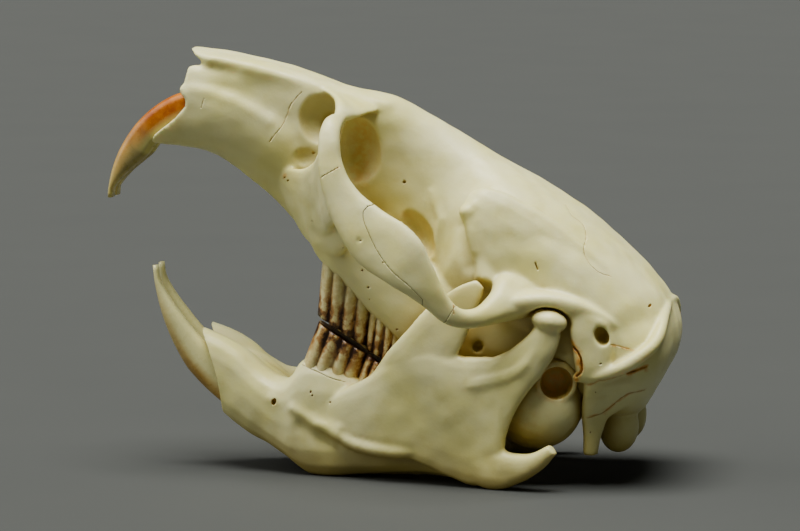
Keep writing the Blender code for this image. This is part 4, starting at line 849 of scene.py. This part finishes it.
class Look:
    """A material and short ways to add its nodes."""

    def __init__(self, name, roughness):
        self.made = bpy.data.materials.new(name)
        self.made.use_nodes = True
        self.tree = self.made.node_tree
        self.shader = self.tree.nodes["Principled BSDF"]
        set_inputs(self.shader, {"Roughness": roughness})
        self.place = self.add("ShaderNodeTexCoord").outputs["Object"]

    def add(self, kind, **settings):
        node = self.tree.nodes.new(kind)
        for name, value in settings.items():
            setattr(node, name, value)
        return node

    def join(self, output, entry):
        self.tree.links.new(output, entry)

    def noise(self, size, detail=4.0, rough=0.55):
        """Noise whose lumps are about that size in millimetres."""
        node = self.add("ShaderNodeTexNoise")
        set_inputs(node, {"Scale": 1 / (size * MM), "Detail": detail, "Roughness": rough})
        self.join(self.place, node.inputs["Vector"])
        return node.outputs["Fac"]

    def value(self, name):
        return self.add("ShaderNodeAttribute", attribute_name=name).outputs["Fac"]

    def spread(self, share, low, high, to_low=0.0, to_high=1.0):
        """Maps low to high of a number onto to_low to to_high."""
        node = self.add("ShaderNodeMapRange", interpolation_type="SMOOTHSTEP")
        self.join(share, node.inputs["Value"])
        set_inputs(node, {"From Min": low, "From Max": high, "To Min": to_low, "To Max": to_high})
        return node.outputs["Result"]

    def maths(self, operation, first, second):
        node = self.add("ShaderNodeMath", operation=operation, use_clamp=True)
        self.join(first, node.inputs[0])
        if isinstance(second, float):
            node.inputs[1].default_value = second
        else:
            self.join(second, node.inputs[1])
        return node.outputs[0]

    def mixed(self, share, first, second):
        """Goes from the first colour to the second with a share."""
        node = self.add("ShaderNodeMix", data_type="RGBA")
        self.join(share, node.inputs["Factor"])
        entries = [entry for entry in node.inputs if entry.type == "RGBA"]
        for entry, colour in zip(entries, (first, second)):
            if isinstance(colour, tuple):
                entry.default_value = (*colour, 1)
            else:
                self.join(colour, entry)
        return [output for output in node.outputs if output.type == "RGBA"][0]

    def tinted(self, share, amount, colour, tint):
        """Mixes a tint into a colour, by a share times an amount."""
        return self.mixed(self.maths("MULTIPLY", share, amount), colour, tint)

    def hollow(self, distance):
        """One in hollows narrower than that distance in millimetres, nought in the open; it sets where
        shade is painted into the colour.
        """
        node = self.add("ShaderNodeAmbientOcclusion", samples=8)
        set_inputs(node, {"Distance": distance * MM})
        return self.spread(node.outputs["AO"], 0.95, 0.2)

    def bumps(self, layers):
        """Bump from heights, each with a strength and a depth in millimetres."""
        before = None
        for height, strength, depth in layers:
            node = self.add("ShaderNodeBump")
            set_inputs(node, {"Strength": strength, "Distance": depth * MM})
            self.join(height, node.inputs["Height"])
            if before:
                self.join(before, node.inputs["Normal"])
            before = node.outputs["Normal"]
        self.join(before, self.shader.inputs["Normal"])

    def paint(self, colour):
        self.join(colour, self.shader.inputs["Base Color"])

    def roughen(self, share, low, high):
        """Varies the roughness with noise."""
        self.join(self.spread(share, 0.3, 0.7, low, high), self.shader.inputs["Roughness"])

    def translucent(self, weight, colours, scale):
        """Lets light spread under the surface: scale in metres, times one number for each colour."""
        names = ("Subsurface Weight", "Subsurface Radius", "Subsurface Scale")
        set_inputs(self.shader, dict(zip(names, (weight, colours, scale))))


def bone_material():
    look = Look("bone", 0.42)
    pale, cream, olive = (0.85, 0.82, 0.41), (0.80, 0.76, 0.28), (0.67, 0.61, 0.18)
    # Colours of painted shade, for the hollows and for narrow creases
    shade, crease_shade = (0.48, 0.35, 0.06), (0.38, 0.24, 0.05)
    rust, dark = (0.70, 0.35, 0.05), (0.16, 0.07, 0.014)
    colour = look.mixed(look.spread(look.noise(9.0, 3), 0.35, 0.7), pale, cream)
    colour = look.tinted(look.spread(look.noise(3.2, 5), 0.5, 0.75), 0.4, colour, olive)
    # Painted shade: hollows turn a deeper yellow-brown, and narrow creases such as seams and small holes a
    # darker brown
    colour = look.tinted(look.hollow(11.0), 0.9, colour, shade)
    colour = look.tinted(look.hollow(1.2), 0.25, colour, crease_shade)
    # The stain values also hold painted shade, from the spots in the eye socket and under the ear capsule
    stain = look.value("stain")
    patchy = look.maths("MULTIPLY", stain, look.spread(look.noise(0.8, 5), 0.3, 0.65, 0.5, 1.3))
    colour = look.mixed(look.spread(patchy, 0.05, 0.6), colour, rust)
    colour = look.mixed(look.spread(patchy, 0.55, 1.1), colour, dark)
    look.paint(colour)
    look.roughen(look.noise(1.4, 3), 0.36, 0.52)
    look.translucent(0.2, (1.0, 0.75, 0.35), 0.0012)
    look.bumps([(look.noise(1.1, 5), 0.35, 0.10), (look.noise(0.25, 3), 0.3, 0.03)])
    return look.made


def front_tooth_material(name, dentine, enamel, deep, worn):
    """Dentine with enamel on the outer side, from one colour to a deeper one, and a worn inner side."""
    look = Look(name, 0.28)
    side = look.mixed(look.noise(2.0), dentine, tuple(0.8 * part for part in dentine))
    outer = look.mixed(look.spread(look.noise(1.6), 0.35, 0.65), enamel, deep)
    colour = look.mixed(look.value("outer"), side, outer)
    look.paint(look.tinted(look.value("worn"), 0.8, colour, worn))
    look.roughen(look.noise(0.9), 0.22, 0.36)
    look.translucent(0.08, (1.0, 0.7, 0.3), 0.0008)
    look.bumps([(look.noise(0.6, 4), 0.2, 0.05)])
    return look.made


def cheek_tooth_material():
    look = Look("stained_tooth", 0.33)
    pale, cream = (0.78, 0.72, 0.36), (0.62, 0.50, 0.19)
    brown, black = (0.40, 0.20, 0.05), (0.055, 0.02, 0.007)
    clean = look.mixed(look.spread(look.noise(1.2), 0.35, 0.65), pale, cream)
    patch = look.spread(look.noise(0.9, 5), 0.38, 0.62, 0.15, 1.0)
    near = look.maths("MULTIPLY", look.value("crown"), patch)
    fold = look.value("fold")
    folds = look.maths("MULTIPLY", fold, look.spread(look.value("crown"), 0.15, 0.8, 0.3, 1.0))
    stain = look.maths("ADD", near, folds)
    colour = look.mixed(look.spread(stain, 0.15, 0.6), clean, brown)
    look.paint(look.mixed(look.spread(stain, 0.5, 1.0), colour, black))
    look.roughen(look.noise(0.7), 0.26, 0.42)
    look.bumps([(look.noise(0.4, 4), 0.25, 0.05)])
    return look.made


# Pieces

LEVEL = Matrix.Translation((CENTRE_AHEAD * MM, 0, 0))
TILTED = (
    Matrix.Translation(((CENTRE_AHEAD - SKULL_BACK) * MM, 0, SKULL_UP * MM))
    @ Matrix.Rotation(radians(NOSE_UP), 4, "Y")
)


def placed(made, look, setting, slot, *nodes):
    """Moves a finished piece from its forms' frame to the part's, and lets it stand for its solids."""
    made.data.materials.clear()
    made.data.materials.append(look)
    made.data.shade_smooth()
    made.data.transform(setting)
    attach(made, "root")
    if nodes:
        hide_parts(*nodes)


def make_cranium():
    """The bone of the cranium, with the cheek bones still part of it."""
    made = fuse(object_of("cranium_bone", core_forms()), CORE_VOXEL, CORE_SOFTENING)
    cut(made, both(side_hollows()))
    sides = fuse(object_of("sides", both(side_forms())), FINE_VOXEL, 0)
    combine(made, sides, "UNION")
    cut(made, deep_cuts())
    made = detailed(largest(fuse(made, FINE_VOXEL, SOFTENING)), CRANIUM_RELIEF, seed=11)
    return scored(made, CRANIUM_SEAMS, CRANIUM_PITS, seed=40)


def main():
    """Makes and dresses every piece of the skull."""
    bone = bone_material()
    # The upper tooth's worn face is a dark olive-brown, partly its own worn colour and partly painted
    # shade, as that face lies in shade
    upper_look = front_tooth_material(
        "orange_tooth", dentine=(0.72, 0.66, 0.22), enamel=(0.56, 0.18, 0.008), deep=(0.38, 0.09, 0.004),
        worn=(0.34, 0.27, 0.09),
    )
    lower_look = front_tooth_material(
        "yellow_tooth", dentine=(0.78, 0.76, 0.36), enamel=(0.50, 0.33, 0.07), deep=(0.38, 0.22, 0.04),
        worn=(0.74, 0.71, 0.32),
    )
    molar_look = cheek_tooth_material()

    cranium = make_cranium()
    for side, word in ((LEFT, "left"), (RIGHT, "right")):
        bulla = fuse(object_of(f"{word}_ear_capsule", on(side, bulla_forms())), FINE_VOXEL, SOFTENING)
        combine(cranium, swollen(bulla, SEAM), "DIFFERENCE")
        cut(bulla, on(side, [ear_hole(count=24, sides=44)]))
        tooth = front_tooth(f"{word}_upper_front_tooth", side, UPPER_INCISOR, enamel=3.2)
        combine(cranium, swollen(tooth, SEAM), "DIFFERENCE")
        cheek = swollen(cranium, 0)
        cheek.name = f"{word}_cheek_bone"
        combine(cheek, object_of("own", on(side, [cheek_territory(-SEAM / 2)])), "INTERSECT")
        cut(cranium, on(side, [cheek_territory(SEAM / 2)]))
        bulla = stained_and_shaded(largest(bulla), [], [], EAR_SPOTS)
        placed(bulla, bone, TILTED, "bone", f"{word}_auditory_bulla")
        placed(tooth, upper_look, TILTED, "tooth", f"{word}_upper_incisor")
        cheek = stained_and_shaded(largest(cheek), CRANIUM_SEAMS, CRANIUM_PITS, [])
        placed(cheek, bone, TILTED, "bone", f"{word}_jugal")
        row = cheek_teeth(f"{word}_upper_cheek_teeth", side, front=37.4, left=5.2, width=4.0, root=8.4,
                          crown=CHEWING_GAP, lean=0.42)
        placed(row, molar_look, TILTED, "tooth")

        jaw = fuse(object_of(f"{word}_jaw_bone", on(side, jaw_forms())), FINE_VOXEL, SOFTENING)
        detailed(jaw, JAW_RELIEF, seed=31 + side)
        cut(jaw, on(side, jaw_cuts()))
        scored(jaw, JAW_SEAMS, JAW_PITS, seed=60)
        tooth = front_tooth(f"{word}_lower_front_tooth", side, LOWER_INCISOR, enamel=2.1)
        combine(jaw, swollen(tooth, SEAM), "DIFFERENCE")
        jaw = stained_and_shaded(largest(jaw), JAW_SEAMS, JAW_PITS, JAW_SPOTS)
        placed(jaw, bone, LEVEL, "bone", f"{word}_mandible")
        placed(tooth, lower_look, LEVEL, "tooth", f"{word}_lower_incisor")
        row = cheek_teeth(f"{word}_lower_cheek_teeth", side, front=36.8, left=5.3, width=3.9, root=-7.0,
                          crown=-CHEWING_GAP, lean=0.15)
        placed(row, molar_look, TILTED, "tooth")
    cranium = stained_and_shaded(largest(cranium), CRANIUM_SEAMS, CRANIUM_PITS, CRANIUM_SPOTS)
    placed(cranium, bone, TILTED, "bone", "cranium")


main()


# Stage

CAMERA_TURN, CAMERA_RISE = radians(9.0), radians(6.5)
CAMERA_AWAY = 0.480
LOOKED_AT = Vector((CENTRE_AHEAD * MM, 0, 0.0244))
LENS, SENSOR_WIDTH = 181.44, 36
FLOOR_HALF = 6.0
WORLD_COLOUR = (0.97, 0.97, 0.9, 1)
WORLD_STRENGTH = 0.04


def make_camera():
    """Looks at the left side, a little from the back and from above."""
    eye = bpy.data.objects.new("camera", bpy.data.cameras.new("camera"))
    bpy.context.scene.collection.objects.link(eye)
    level = cos(CAMERA_RISE)
    back = Vector((sin(CAMERA_TURN) * level, -cos(CAMERA_TURN) * level, sin(CAMERA_RISE)))
    eye.location = LOOKED_AT + back * CAMERA_AWAY
    eye.rotation_euler = back.to_track_quat("Z", "Y").to_euler()
    eye.data.sensor_width = SENSOR_WIDTH
    eye.data.lens = LENS
    eye.data.clip_start = 0.01
    bpy.context.scene.camera = eye


def make_light(name, towards, spread, strength, colour):
    """A distant soft light, which lights all the floor alike; spread is its width in degrees."""
    light = bpy.data.lights.new(name, "SUN")
    light.angle = radians(spread)
    light.energy = strength
    light.color = colour
    lamp = bpy.data.objects.new(name, light)
    lamp.rotation_euler = Vector(towards).to_track_quat("Z", "Y").to_euler()
    bpy.context.scene.collection.objects.link(lamp)


def make_floor():
    """A wide plain grey floor."""
    mesh = bpy.data.meshes.new("floor")
    corners = [(FLOOR_HALF * x, FLOOR_HALF * y, 0) for x, y in ((-1, -1), (1, -1), (1, 1), (-1, 1))]
    mesh.from_pydata(corners, [], [(0, 1, 2, 3)])
    floor = bpy.data.objects.new("floor", mesh)
    bpy.context.scene.collection.objects.link(floor)
    look = Look("floor", 0.8)
    grey = look.mixed(look.noise(30.0), (0.035, 0.039, 0.036), (0.041, 0.045, 0.041))
    look.paint(grey)
    mesh.materials.append(look.made)


def make_world():
    """Faint even light from all around."""
    world = bpy.data.worlds.new("studio")
    world.use_nodes = True
    set_inputs(world.node_tree.nodes["Background"], {"Color": WORLD_COLOUR, "Strength": WORLD_STRENGTH})
    bpy.context.scene.world = world


make_camera()
make_floor()
make_world()
make_light("key", towards=(-0.06, -0.10, 0.99), spread=42.0, strength=6.9, colour=(1, 0.985, 0.95))
make_light("fill", towards=(-0.80, -0.15, 0.6), spread=50.0, strength=1.3, colour=(1, 0.98, 0.93))
